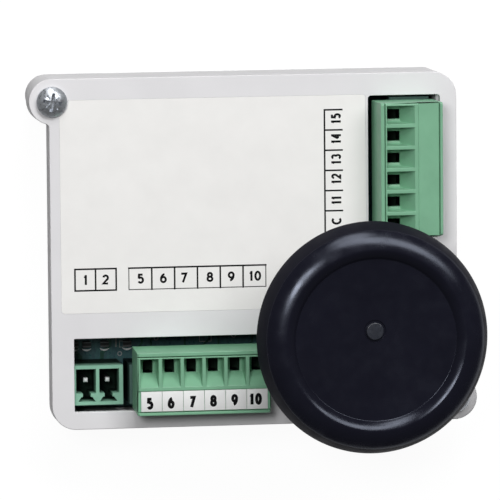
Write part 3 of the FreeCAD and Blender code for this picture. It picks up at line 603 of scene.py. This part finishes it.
def ribbon(shell, points, width, low, high, closed=False):
    """A flat stroke of even width along a line, from one level to another."""
    least_mitre = 0.5
    line = [Vector(point) for point in points]
    if closed:
        line = line[:-1]
    count = len(line)
    sections = []
    for k, point in enumerate(line):
        before = line[k - 1] if k or closed else None
        after = line[(k + 1) % count] if k < count - 1 or closed else None
        first = (point - before).normalized() if before is not None else None
        second = (after - point).normalized() if after is not None else first
        first = first or second
        across = Vector((-first.y - second.y, first.x + second.x)).normalized()
        reach = width / 2 / max(least_mitre, across.dot(Vector((-second.y, second.x))))
        left = point + across * reach
        right = point - across * reach
        sections.append([(*left, low), (*right, low), (*right, high), (*left, high)])
    if closed:
        rows = shell.loft(sections)
        shell.bridge(rows[-1], rows[0])
    else:
        shell.solid(sections)


class Lettering:
    """Draws numbers and lines as thin raised ink on a level."""

    def __init__(self, shell, level, sizes, height, width, stroke, gap):
        self.shell = shell
        self.low = level
        self.high = level + sizes.ink
        self.overlay = sizes.overlay
        self.height = height - stroke
        self.half = (width - stroke) / 2
        self.stroke = stroke
        self.gap = gap

    def half_of(self, sign):
        """Half the drawn width of a sign's centre lines, which is less for a one."""
        one_share = 0.45
        return self.half * (one_share if sign == "1" else 1)

    def write(self, text, centre, turn=0.0):
        """Writes a text about its centre."""
        spin = Matrix.Rotation(turn, 2)
        total = sum(2 * self.half_of(sign) + self.stroke for sign in text) + self.gap * (len(text) - 1)
        x = -total / 2
        for sign in text:
            half = self.half_of(sign)
            middle = x + half + self.stroke / 2
            for order, (points, closed) in enumerate(glyph(sign)):
                drawn = [Vector((middle + p * half, (q - 0.5) * self.height)) for p, q in points]
                placed = [spin @ point + Vector(centre) for point in drawn]
                ribbon(self.shell, placed, self.stroke, self.low, self.high + order * self.overlay, closed)
            x += 2 * half + self.stroke + self.gap

    def line(self, first, last, width):
        """A straight line with square ends that reach half its width further."""
        along = (Vector(last) - Vector(first)).normalized() * width / 2
        level = self.high + (self.overlay if first[0] == last[0] else 0)
        ribbon(self.shell, [Vector(first) - along, Vector(last) + along], width, self.low, level)


# Operators, one for each piece or group of like pieces

def settings(name):
    """One group of settings of the scene."""
    return getattr(bpy.context.scene, name)


class UNIT_OT_housing(Operator):
    """Finish the face plate and the box behind it"""
    bl_idname = "access_unit.housing"
    bl_label = "Housing"

    def execute(self, context):
        tint = settings("unit_colours").cover
        grey = moulded("light_grey_plastic", tint, roughness=0.5, specular=0.18, patch=11, variation=0.02,
                       grain=0.35)
        dress("front_cover", grey)
        dress("base_shell", grey)
        return {"FINISHED"}


class UNIT_OT_label(Operator):
    """Finish the label and print its numbers and lines"""
    bl_idname = "access_unit.label"
    bl_label = "Label"

    def execute(self, context):
        colours = settings("unit_colours")
        sizes = settings("unit_print")
        dress("label_sheet", sheet_film("label_film", colours.label), edge=0.05)
        low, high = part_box("label_sheet")
        shell = Shell()
        pen = Lettering(shell, high.z, sizes, sizes.height, sizes.width, sizes.stroke, sizes.gap)
        left_row = {"1": 0.08, "2": -0.06}
        right_row = {"5": 0.06, "6": 0.03, "7": -0.53, "8": 0.24, "9": -0.12, "10": 0.16}
        self.number_row(pen, sizes, low, left_row, start=3.2, cell=4.785, thin=sizes.line)
        self.number_row(pen, sizes, low, right_row, start=15.74, cell=5.335, thin=sizes.thin_line)
        narrow = Lettering(shell, high.z, sizes, sizes.height, sizes.column_width, sizes.stroke, sizes.gap)
        self.number_column(narrow, sizes, high)
        shell.piece("label_print", printed_ink("label_ink", colours.ink), "root")
        return {"FINISHED"}

    def number_row(self, pen, sizes, corner, numbers, start, cell, thin):
        """A row of framed numbers, by its start from the label's left and its cell's width, in millimetres.

        Each number comes with how far it stands off the middle of its cell.
        """
        lift = 5.3 * MM
        height = 5 * MM
        left = corner.x + start * MM
        bottom = corner.y + lift
        top = bottom + height
        right = left + cell * len(numbers) * MM
        pen.line((left, top), (right, top), sizes.line)
        pen.line((left, bottom), (right, bottom), thin)
        for k in range(len(numbers) + 1):
            x = left + k * cell * MM
            pen.line((x, bottom), (x, top), sizes.line if 0 < k < len(numbers) else thin)
        for k, (number, shift) in enumerate(numbers.items()):
            pen.write(number, (left + ((k + 0.5) * cell + shift) * MM, (bottom + top) / 2))

    def number_column(self, pen, sizes, corner):
        """A column of numbers that reads upwards, open on its right, each with its place in its cell."""
        numbers = {"15": 0.43, "14": 0.42, "13": 0.445, "12": 0.41, "11": 0.48, "C": 0.53}
        cell = 4.7 * MM
        inset = 9.65 * MM
        open_inset = 5.57 * MM
        drop = 3.4 * MM
        aside = 0.65 * MM
        left = corner.x - inset
        right = corner.x - open_inset
        top = corner.y - drop
        pen.line((left, top), (left, top - cell * len(numbers)), sizes.line)
        for k in range(len(numbers)):
            pen.line((left, top - k * cell), (right, top - k * cell), sizes.line)
        for k, (number, share) in enumerate(numbers.items()):
            pen.write(number, ((left + right) / 2 + aside, top - (k + share) * cell), math.radians(90))


class UNIT_OT_lug_screws(Operator):
    """Turn the two pan-head screws in the lugs"""
    bl_idname = "access_unit.lug_screws"
    bl_label = "Lug screws"

    def execute(self, context):
        sizes = settings("unit_screws")
        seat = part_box("front_cover")[1].z
        whole = bmesh.new()
        for low, high in solids_of("lug_screws"):
            centre = ((low.x + high.x) / 2, (low.y + high.y) / 2)
            head = self.head(centre, (high.x - low.x) / 2, seat, high.z, sizes)
            whole.from_mesh(carved(head, self.recess(centre, high.z, sizes), "lug_screw_head"))
            whole.from_mesh(self.shank(centre, low.z, seat, sizes))
        mesh = bpy.data.meshes.new("lug_screws_turned")
        whole.to_mesh(mesh)
        whole.free()
        steel = plated("zinc_plate", settings("unit_colours").steel, roughness=0.3, metallic=0.8)
        screws = place_mesh(mesh, "lug_screws_turned", steel, "root")
        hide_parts("lug_screws")
        return {"FINISHED"}

    def head(self, centre, radius, seat, top, sizes):
        """A domed head with a rounded edge."""
        chamfer = 0.15 * MM
        break_below = 0.2 * MM
        dome_share = 0.985
        steps = 16
        edge = seat + sizes.rim
        rise = top - edge
        dome = (radius ** 2 + rise ** 2) / (2 * rise)
        lean = math.asin(radius / dome)
        section = [(radius - chamfer, seat), (radius, seat + chamfer), (radius, edge - break_below)]
        for k in range(steps):
            turn = lean * (1 - k / steps)
            section.append((dome * math.sin(turn) * dome_share, top - dome + dome * math.cos(turn)))
        shell = Shell()
        shell.solid([circle(centre, r, z, count=64) for r, z in section])
        return shell.mesh("lug_screw_head")

    def recess(self, centre, top, sizes):
        """The tapered cross and the four small marks between its arms."""
        taper = ((0.62, 0.55, 1), (0.85, 0.8, 0.45))
        tick_start = 0.9
        half = sizes.slot / 2
        above = top + 0.5 * MM
        spin = Matrix.Rotation(sizes.turn, 2)

        def cross(arm, half, level):
            corners = []
            for k in range(4):
                quarter = Matrix.Rotation(math.radians(90 * k), 2)
                corners += [quarter @ Vector(point) for point in ((arm, -half), (arm, half), (half, half))]
            return [(*(spin @ corner + Vector(centre)), level) for corner in corners]

        # Shares of the arm's length, of its width and of the depth, from the bottom upwards
        rings = [cross(sizes.arm * arm, half * width, top - sizes.depth * depth)
                 for arm, width, depth in taper]
        shell = Shell()
        shell.solid(rings + [cross(sizes.arm, half, above)])
        for k in range(4):
            quarter = spin @ Matrix.Rotation(math.radians(45 + 90 * k), 2)
            near = sizes.slot * tick_start
            far = near + sizes.tick
            aside = sizes.tick_width / 2
            outline = [(near, -aside), (far, -aside), (far, aside), (near, aside)]
            placed = [tuple(quarter @ Vector(point) + Vector(centre)) for point in outline]
            shell.prism(placed, top - sizes.tick_depth, above)
        return shell.mesh("lug_screw_recess")

    def shank(self, centre, low, seat, sizes):
        """The neck and the threaded shank with its point."""
        around = 24
        steps = 8
        outer = 1.75 * MM
        neck_radius = 1.55 * MM
        lap = 0.1 * MM
        point_length = 3.2 * MM
        tip_share = 0.25
        flank = 4
        neck = seat - 6.3 * MM
        rows = [circle(centre, neck_radius, seat + lap, around), circle(centre, neck_radius, neck, around)]
        total = int((neck - low) / sizes.pitch * steps)
        for k in range(total + 1):
            height = neck - (neck - low) * k / total
            point = min(1, (height - low) / point_length)
            row = []
            for step in range(around):
                turn = FULL_TURN * step / around
                phase = ((height - low) / sizes.pitch - step / around) % 1
                crest = max(0, 1 - abs(phase - 0.5) * flank)
                radius = (sizes.core + (outer - sizes.core) * crest) * (tip_share + (1 - tip_share) * point)
                row.append((centre[0] + radius * math.cos(turn), centre[1] + radius * math.sin(turn), height))
            rows.append(row)
        shell = Shell()
        shell.solid(rows)
        return shell.mesh("lug_screw_shank")


class UNIT_OT_circuit_board(Operator):
    """Finish the circuit board with its tracks, rings and printed outlines"""
    bl_idname = "access_unit.circuit_board"
    bl_label = "Circuit board"

    def execute(self, context):
        colours = settings("unit_colours")
        mask = lacquered_board("solder_mask", colours.mask, colours.track)
        dress("circuit_board", mask, edge=0.1)
        dress("head_board", mask, edge=0.1)
        dress("board_screws", plated("board_screw_plate", colours.steel, roughness=0.36), edge=0.12)
        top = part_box("circuit_board")[1].z
        self.tracks(colours, top)
        self.rings(colours, top)
        self.outlines(colours, top)
        return {"FINISHED"}

    def tracks(self, colours, top):
        """Copper runs from each pin towards the middle of the board, with 45 degree turns."""
        sides = (-1, 1, 1)
        bends = (0.5, 1.4, 2.3)
        steps = (1.1, 1.8)
        run = 16 * MM
        supply_width = 0.9 * MM
        signal_width = 0.45 * MM
        thickness = 0.035 * MM
        supply = solids_of("supply_pins")
        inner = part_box("reader_header")[1].y
        shell = Shell()
        for k, (low, high) in enumerate(supply + solids_of("reader_pins")):
            x = (low.x + high.x) / 2
            bend = inner + bends[k % 3] * MM
            step = steps[k % 2] * MM
            aside = x + sides[k % 3] * step
            width = supply_width if k < len(supply) else signal_width
            points = [(x, (low.y + high.y) / 2), (x, bend), (aside, bend + step), (aside, bend + run)]
            ribbon(shell, points, width, top, top + thickness)
        copper = lacquered_board("masked_copper", shade(colours.track, -0.3), colours.track)
        tracks = shell.piece("board_tracks", copper, "root")

    def rings(self, colours, top):
        """Tinned rings round the holes that join both sides of the board."""
        places = ((-30.03, -24.97), (-21.4, -21.6), (-14.2, -20.9), (-3.1, -21.4), (-41.2, -20.6))
        high = top + 0.06 * MM
        section = [(0.32 * MM, top), (0.34 * MM, high), (0.54 * MM, high), (0.58 * MM, top)]
        shell = Shell()
        for x, y in places:
            centre = (x * MM, y * MM)
            rows = shell.loft([circle(centre, radius, level, count=28) for radius, level in section])
            shell.bridge(rows[-1], rows[0])
        tin = plated("tinned_rings", shade(colours.solder, -0.45), roughness=0.35, metallic=0.3)
        ring = shell.piece("board_rings", tin, "root")

    def outlines(self, colours, top):
        """Thin printed outlines round the parts beside the lower headers."""
        boxes = ((-30.05, -23.45, -27.8, -22.0), (-31.0, -23.3, -30.8, -21.4), (-11.2, -22.6, -8.4, -20.0))
        width = 0.15 * MM
        thickness = 0.02 * MM
        shell = Shell()
        for left, low, right, high in boxes:
            corners = ((left, low), (right, low), (right, high), (left, high), (left, low))
            points = [(x * MM, y * MM) for x, y in corners]
            ribbon(shell, points, width, top, top + thickness, closed=True)
        shell.piece("board_outlines", printed_ink("board_legend", colours.legend), "root")


class UNIT_OT_chip_parts(Operator):
    """Build the small chip parts with their metal ends and solder"""
    bl_idname = "access_unit.chip_parts"
    bl_label = "Chip parts"

    def execute(self, context):
        colours = settings("unit_colours")
        black = moulded("chip_body", colours.chip_part, roughness=0.45, patch=1, variation=0.15, grain=0.08)
        # The metal ends are tinned metal made much darker: painted shade where the face plate shades them.
        cap = plated("chip_caps_painted_shade", shade(colours.solder, -0.75), roughness=0.4, patch=0.5, metallic=0.6)
        # The near-white solder is a painted highlight.
        tin = plated("chip_solder_painted_glint", colours.bright_solder, roughness=0.3, patch=0.5, metallic=0.15)
        bodies, ends, beads = Shell(), Shell(), Shell()
        for low, high in solids_of("chip_resistors"):
            self.body(bodies, low, high)
            self.end(ends, low, high, -1)
            self.end(ends, low, high, 1)
            self.bead(beads, low, high)
        chips = bodies.piece("chip_part_bodies", black, "root")
        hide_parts("chip_resistors")
        solder = ends.piece("chip_part_ends", cap, "root")
        toes = beads.piece("chip_part_solder", tin, "root")
        return {"FINISHED"}

    def body(self, shell, low, high):
        """The ceramic body between its two metal ends."""
        band = 0.25 * MM
        edge = 0.05 * MM
        outline = [(low.x + edge, low.y + band), (high.x - edge, low.y + band),
                   (high.x - edge, high.y - band), (low.x + edge, high.y - band)]
        shell.prism(outline, low.z + edge, high.z - edge)

    def end(self, shell, low, high, side):
        """A metal end with the hollow slope of solder in front of it."""
        steps = 12
        band = 0.3 * MM
        foot = 0.3 * MM
        foot_height = 0.2 * MM
        corner_width = 0.06 * MM
        corner_height = 0.08 * MM
        roundness = 0.6
        hollow = 0.35
        face = high.y if side > 0 else low.y
        rows = []
        for share in (k / steps for k in range(steps + 1)):
            x = low.x + (high.x - low.x) * share
            reach = side * foot * math.sin(math.pi * share) ** roundness
            rows.append([(x, face - side * band, low.z), (x, face + reach, low.z),
                         (x, face + reach * hollow, low.z + foot_height), (x, face, high.z - corner_height),
                         (x, face - side * corner_width, high.z), (x, face - side * band, high.z)])
        shell.solid(rows)

    def bead(self, shell, low, high):
        """The bright crescent of solder that has flowed out below the lower end.

        Its width and heights are in millimetres at its tips, with what its middle has more.
        """
        steps = 14
        gap = 0.3 * MM
        lap = 0.15 * MM
        bow = 0.25 * MM
        width, more_width = 0.06, 0.42
        flank_height, more_flank = 0.02, 0.08
        crown_height, more_crown = 0.03, 0.13
        roundness = 0.7
        flank = 0.15
        rows = []
        for share in (k / steps for k in range(steps + 1)):
            x = low.x - lap + (high.x - low.x + 2 * lap) * share
            swell = math.sin(math.pi * share) ** roundness
            inner = low.y - gap - bow * swell
            outer = inner - (width + more_width * swell) * MM
            side = low.z + (flank_height + more_flank * swell) * MM
            crown = low.z + (crown_height + more_crown * swell) * MM
            rows.append([(x, inner, low.z), (x, inner * (1 - flank) + outer * flank, side),
                         (x, (inner + outer) / 2, crown), (x, inner * flank + outer * (1 - flank), side),
                         (x, outer, low.z)])
        shell.solid(rows)


class UNIT_OT_board_parts(Operator):
    """Finish the larger parts on the circuit board"""
    bl_idname = "access_unit.board_parts"
    bl_label = "Board parts"

    def execute(self, context):
        colours = settings("unit_colours")
        dress("door_relay", moulded("relay_case", colours.relay, roughness=0.35, patch=5), edge=0.4)
        can = plated("capacitor_can", colours.can, roughness=0.28)
        dress("electrolytic_capacitors", can, edge=0.5, segments=3)
        package = moulded("chip_package", colours.package, roughness=0.55, patch=2, variation=0.1, grain=0.12)
        chips = ("bridge_rectifier", "voltage_regulator", "microcontroller", "access_memory", "reader_chip")
        for node in chips:
            dress(node, package, edge=0.1)
        dress("crystal", plated("crystal_can", colours.crystal, roughness=0.2), edge=0.3, segments=3)
        blue = moulded("varistor_lacquer", colours.varistor, roughness=0.38, patch=3)
        dress("surge_varistors", blue, edge=0.4, segments=3)
        return {"FINISHED"}


class UNIT_OT_headers(Operator):
    """Finish the pin headers and their pins"""
    bl_idname = "access_unit.headers"
    bl_label = "Pin headers"

    def execute(self, context):
        colours = settings("unit_colours")
        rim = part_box("supply_header")[1].z
        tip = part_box("supply_pins")[1].z
        # The pins' near-white tint is a painted highlight on their tips, and shade is painted on their sides
        # below the tips.
        tin = plated("tinned_pin_painted_light", shade(colours.solder, 0.6), roughness=0.25, metallic=0.3,
                     painted_shade={"high": tip - 0.6 * MM, "low": tip - 1.4 * MM, "share": 0.08})
        # The reader and relay headers get a darker copy of the header's green as painted shade.
        tints = {"supply": colours.header, "reader": colours.covered_header, "relay": colours.covered_header}
        for row, tint in tints.items():
            # Shade is painted into each header's hollow cells, darker further down.
            green = moulded(row + "_header_green_painted_shade", tint, roughness=0.42, patch=5, variation=0.05, grain=0.2,
                            painted_shade={"high": rim - 0.9 * MM, "low": rim - 5 * MM, "share": 0.05})
            dress(row + "_header", green)
            dress(row + "_pins", tin, edge=0.05)
        return {"FINISHED"}


class UNIT_OT_plugs(Operator):
    """Finish the two plugs and their contacts"""
    bl_idname = "access_unit.plugs"
    bl_label = "Plugs"

    def execute(self, context):
        colours = settings("unit_colours")
        # The contacts take the nearly black clamp colour, painted shade inside the wire holes.
        contact = plated("contact_plate", colours.clamp, roughness=0.4)
        for row in ("reader", "relay"):
            low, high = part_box(row + "_plug_body")
            # Shade is painted into the wire holes: the plug's green darkens below a height inside the box
            # that holds them.
            dark = {"high": high.z - 3.6 * MM, "low": high.z - 4.2 * MM, "share": 0.07,
                    "box": self.holes(row, low, high)}
            green = moulded(row + "_plug_green_painted_shade", colours.plug, roughness=0.4, patch=6, variation=0.05,
                            grain=0.22, painted_shade=dark)
            dress(row + "_plug_body", green, edge=0.14)
            dress(row + "_plug_contacts", contact, edge=0.05)
        return {"FINISHED"}

    def holes(self, row, low, high):
        """Two corners of the box that holds a plug's wire holes, which is parallel to its outer side."""
        end = 0.6 * MM
        near = 6 * MM
        far = 12.3 * MM
        under = high.z - 9.3 * MM
        if row == "reader":
            return Vector((low.x + end, low.y + near, under)), Vector((high.x - end, low.y + far, high.z))
        return Vector((high.x - far, low.y + end, under)), Vector((high.x - near, high.y - end, high.z))


class UNIT_OT_markers(Operator):
    """Lay the six markers into the lower plug and print their numbers"""
    bl_idname = "access_unit.markers"
    bl_label = "Markers"

    def execute(self, context):
        colours = settings("unit_colours")
        sizes = settings("unit_print")
        white = moulded("marker_white", colours.marker, roughness=0.45, patch=3, variation=0.02, grain=0.2)
        low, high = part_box("reader_plug_markers")
        strip, print_shell = Shell(), Shell()
        pen = Lettering(print_shell, high.z, sizes, sizes.marker_height, sizes.marker_width,
                        sizes.marker_stroke, gap=0.2 * MM)
        for k, number in enumerate(range(5, 11)):
            left = low.x + k * sizes.marker_cell
            right = left + sizes.marker_cell - sizes.marker_gap
            self.marker(strip, (left, low.y), (right, high.y), low.z, high.z)
            rise = k * sizes.marker_rise - sizes.marker_drop
            pen.write(str(number), ((left + right) / 2 - sizes.marker_shift, (low.y + high.y) / 2 + rise))
        markers = strip.piece("marker_strip", white, "reader_plug")
        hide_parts("reader_plug_markers")
        print_shell.piece("marker_print", printed_ink("marker_ink", colours.marker_ink), "reader_plug")
        return {"FINISHED"}

    def marker(self, shell, low, high, bottom, top):
        """One marker plate with a softened upper edge."""
        edge = 0.08 * MM
        soft = 0.3
        rows = []
        for inset, level in ((0, bottom), (0, top - edge), (edge * soft, top - edge * soft), (edge, top)):
            rows.append([(low[0] + inset, low[1] + inset, level), (high[0] - inset, low[1] + inset, level),
                         (high[0] - inset, high[1] - inset, level), (low[0] + inset, high[1] - inset, level)])
        shell.solid(rows)


class UNIT_OT_clamps(Operator):
    """Finish the clamp screws and cages"""
    bl_idname = "access_unit.clamps"
    bl_label = "Clamps"

    def execute(self, context):
        tint = settings("unit_colours").clamp
        # The clamp colour is nearly black, painted shade inside the wire holes; the cages are darker still.
        screw = plated("clamp_screw_plate", tint, roughness=0.3, brush=(1, 3, 1))
        cage = plated("clamp_cage_plate", shade(tint, -0.1), roughness=0.34)
        for row in ("reader", "relay"):
            for number in range(1, 7):
                dress(f"{row}_clamp_screw_{number}", screw, edge=0.1)
                dress(f"{row}_clamp_cage_{number}", cage, edge=0.08)
        return {"FINISHED"}


class UNIT_OT_reader_head(Operator):
    """Turn the front of the reader head and finish its pieces"""
    bl_idname = "access_unit.reader_head"
    bl_label = "Reader head"

    def execute(self, context):
        colours = settings("unit_colours")
        sizes = settings("unit_head")
        black = moulded("head_black", colours.head, roughness=0.22, specular=0.4, patch=14, variation=0.1,
                        grain=0.25, depth=0.002)
        black.node_tree.nodes["Principled BSDF"].inputs["Specular Tint"].default_value = HEAD_GLOSS
        matt = moulded("head_side_black", colours.head, roughness=0.62, specular=0.08, patch=14,
                       variation=0.1, grain=0.2, depth=0.004)
        front = self.front(sizes).piece("reader_head_front", black, "reader_head")
        self.coat_side(front.data, matt, sizes)
        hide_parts("head_shell")
        dress("head_back", black, edge=0.25)
        dress("head_screws", plated("head_screw_plate", colours.steel, roughness=0.36), edge=0.12)
        smoked = clear_resin("smoked_guide", colours.guide, roughness=0.3, transmission=0.25)
        dress("light_guide", smoked, edge=0.25, segments=3)
        dress("head_led", clear_resin("led_lens", colours.lens, roughness=0.15, transmission=0.6), edge=0.1)
        low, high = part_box("antenna_coil")
        dress("antenna_coil", enamelled_wire("coil_wire", colours.coil, (low + high) / 2, pitch=0.25))
        dress("cable_grommet", soft_rubber("grommet_rubber", colours.rubber), edge=0.15)
        return {"FINISHED"}

    def front(self, sizes):
        """The front's rings, from the hole of the light guide over the crest and round to the hollow."""
        around = 192
        lip = 0.06 * MM
        flat = 2 * MM
        bevel = 0.1 * MM
        low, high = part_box("head_shell")
        guide_low, guide_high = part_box("light_guide")
        centre = (low + high) / 2
        hole = (guide_low + guide_high) / 2
        stud = self.stud_radius()
        back = low.z
        radius = (high.x - low.x) / 2
        shoulder = (radius - sizes.band, sizes.shoulder)
        crest = (shoulder[0] - sizes.crest_width, sizes.crest)
        recess = (crest[0] - sizes.slope, sizes.recess)
        rim = (radius, sizes.edge)
        heel = (radius - sizes.chamfer, 0)
        inner = radius - sizes.wall
        groove = stud + sizes.groove_width
        floor = recess[1] - sizes.groove
        hole_section = [(stud, sizes.ceiling), (stud, floor), (groove, floor), (groove, recess[1] - lip),
                        (groove + lip, recess[1])]
        up = arc_through(recess, self.bulged(recess, crest, along=0.34, up=0.5), crest, steps=10)
        down = arc_through(crest, self.bulged(crest, shoulder, along=0.5, up=0.28), shoulder, steps=18)
        band = arc_through(shoulder, (radius - sizes.band / 2, sizes.band_rise), rim, steps=14)
        section = rounded_corner((recess[0] - flat, recess[1]), recess, up[0], radius=0.25 * MM)
        section += up[1:] + down[:-1]
        section += rounded_corner(down[-2], shoulder, band[0], radius=0.22 * MM) + band[1:]
        section += rounded_corner(rim, (radius, sizes.chamfer), heel, radius=0.3 * MM)
        section += [heel, (inner + bevel, 0), (inner, bevel), (inner, sizes.ceiling)]
        shell = Shell()
        rows = shell.loft([circle(hole, r, back + z, around) for r, z in hole_section]
                          + [circle(centre, r, back + z, around) for r, z in section])
        shell.bridge(rows[-1], rows[0])
        return shell

    def coat_side(self, mesh, matt, sizes):
        """Gives the outer band and the rim, below the shoulder, their matt finish."""
        margin = 0.1 * MM
        mesh.materials.append(matt)
        low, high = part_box("head_shell")
        centre = (low + high) / 2
        inside = (high.x - low.x) / 2 - sizes.band - margin
        for face in mesh.polygons:
            away = math.hypot(face.center.x - centre.x, face.center.y - centre.y)
            if away > inside and face.center.z < low.z + sizes.shoulder - margin:
                face.material_index = 1

    def bulged(self, first, last, along, up):
        """A point between two others of the section, by its share of the way across and upwards."""
        return (first[0] + along * (last[0] - first[0]), first[1] + up * (last[1] - first[1]))

    def stud_radius(self):
        """Radius of the hole for the light guide's stud, which is its upper part."""
        clearance = 0.03 * MM
        low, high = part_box("light_guide")
        centre = (low + high) / 2
        level = (low.z + high.z) / 2 + 0.5 * MM
        upper = [point.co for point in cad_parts["light_guide"].data.vertices if point.co.z > level]
        return max(math.hypot(co.x - centre.x, co.y - centre.y) for co in upper) + clearance


class UNIT_OT_studio(Operator):
    """Set up the floor, the light and the camera"""
    bl_idname = "access_unit.studio"
    bl_label = "Studio"

    def execute(self, context):
        light = settings("unit_light")
        self.floor(light)
        self.sky(light)
        self.lamp("key_lamp", light.key_power, (light.key_width, light.key_depth), light.distance,
                  light.key_lean, light.key_turn)
        self.lamp("front_lamp", light.front_power, (light.front_size, light.front_size), light.distance,
                  light.front_lean, light.front_turn)
        self.lamp("top_lamp", light.top_power, (light.top_size, light.top_size), light.distance,
                  light.top_lean, light.top_turn)
        self.camera(settings("unit_camera"))
        context.scene.view_settings.view_transform = "Standard"
        return {"FINISHED"}

    def floor(self, light):
        """A wide pale disc that keeps the unit's shadow and is seen as white."""
        outline = circle((0, 0), light.floor, 0, count=96)
        mesh = bpy.data.meshes.new("studio_floor")
        mesh.from_pydata(outline, [], [range(len(outline))])
        floor = bpy.data.objects.new("studio_floor", mesh)
        bpy.context.scene.collection.objects.link(floor)
        recipe = Recipe("floor_paper", [light.floor_grey] * 3, roughness=0.9, specular=0.1)
        path = recipe.add("LightPath").outputs
        seen = path["Is Camera Ray"]
        for ray in ("Is Glossy Ray", "Is Transmission Ray"):
            seen = recipe.combine("MAXIMUM", seen, path[ray])
        recipe.fill(recipe.shader, {"Emission Color": (1, 1, 1, 1),
                                    "Emission Strength": recipe.combine("MULTIPLY", seen, light.floor_white)})
        mesh.materials.append(recipe.material)

    def sky(self, light):
        """Even grey light from all round."""
        world = bpy.data.worlds.new("studio_sky")
        world.use_nodes = True
        background = world.node_tree.nodes["Background"]
        background.inputs["Color"].default_value = (1, 1, 1, 1)
        background.inputs["Strength"].default_value = light.sky
        bpy.context.scene.world = world

    def lamp(self, name, power, sizes, distance, lean, turn):
        """A soft oval lamp that leans towards the top side of the unit."""
        data = bpy.data.lights.new(name, "AREA")
        data.shape = "ELLIPSE"
        data.size, data.size_y = sizes
        data.energy = power
        away = Vector((math.sin(turn) * math.sin(lean), math.cos(turn) * math.sin(lean), math.cos(lean)))
        lamp = bpy.data.objects.new(name, data)
        lamp.location = away * distance
        lamp.rotation_mode = "QUATERNION"
        lamp.rotation_quaternion = away.to_track_quat("Z", "Y")
        bpy.context.scene.collection.objects.link(lamp)

    def camera(self, place):
        """The camera, nearly square to the face and a little to the left and above."""
        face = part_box("front_cover")[1].z
        target = Vector((place.across, place.up, face))
        back = Vector((-math.sin(place.left) * math.cos(place.above), math.sin(place.above),
                       math.cos(place.left) * math.cos(place.above)))
        right = Vector((0, 1, 0)).cross(back).normalized()
        up = back.cross(right)
        turned_right = right * math.cos(place.roll) + up * math.sin(place.roll)
        turned_up = up * math.cos(place.roll) - right * math.sin(place.roll)
        data = bpy.data.cameras.new("studio_camera")
        data.lens = place.lens
        data.sensor_width = 36
        data.clip_start = 0.01
        data.clip_end = 100
        camera = bpy.data.objects.new("studio_camera", data)
        turn = Matrix((turned_right, turned_up, back)).transposed().to_4x4()
        camera.matrix_world = Matrix.Translation(target + back * place.distance) @ turn
        bpy.context.scene.collection.objects.link(camera)
        bpy.context.scene.camera = camera


PIECE_OPERATORS = (UNIT_OT_housing, UNIT_OT_label, UNIT_OT_lug_screws, UNIT_OT_circuit_board,
                   UNIT_OT_chip_parts, UNIT_OT_board_parts, UNIT_OT_headers, UNIT_OT_plugs, UNIT_OT_markers,
                   UNIT_OT_clamps, UNIT_OT_reader_head, UNIT_OT_studio)


class UNIT_PT_pieces(Panel):
    """The unit's pieces, in the order in which they are made"""
    bl_label = "Access Control Unit"
    bl_idname = "UNIT_PT_pieces"
    bl_space_type = "VIEW_3D"
    bl_region_type = "UI"
    bl_category = "Access Unit"

    def draw(self, context):
        for kind in PIECE_OPERATORS:
            self.layout.operator(kind.bl_idname)
        for name, group in GROUPS.items():
            column = self.layout.column(heading=group.__doc__)
            for setting in group.__annotations__:
                column.prop(getattr(context.scene, name), setting)


def register():
    for name, group in GROUPS.items():
        bpy.utils.register_class(group)
        setattr(bpy.types.Scene, name, PointerProperty(type=group))
    for kind in (*PIECE_OPERATORS, UNIT_PT_pieces):
        bpy.utils.register_class(kind)


def unregister():
    for kind in (UNIT_PT_pieces, *reversed(PIECE_OPERATORS)):
        bpy.utils.unregister_class(kind)
    for name, group in GROUPS.items():
        delattr(bpy.types.Scene, name)
        bpy.utils.unregister_class(group)


def main():
    """Makes every piece and writes both boxes."""
    register()
    for kind in PIECE_OPERATORS:
        family, name = kind.bl_idname.split(".")
        getattr(getattr(bpy.ops, family), name)()


if __name__ == "__main__":
    main()
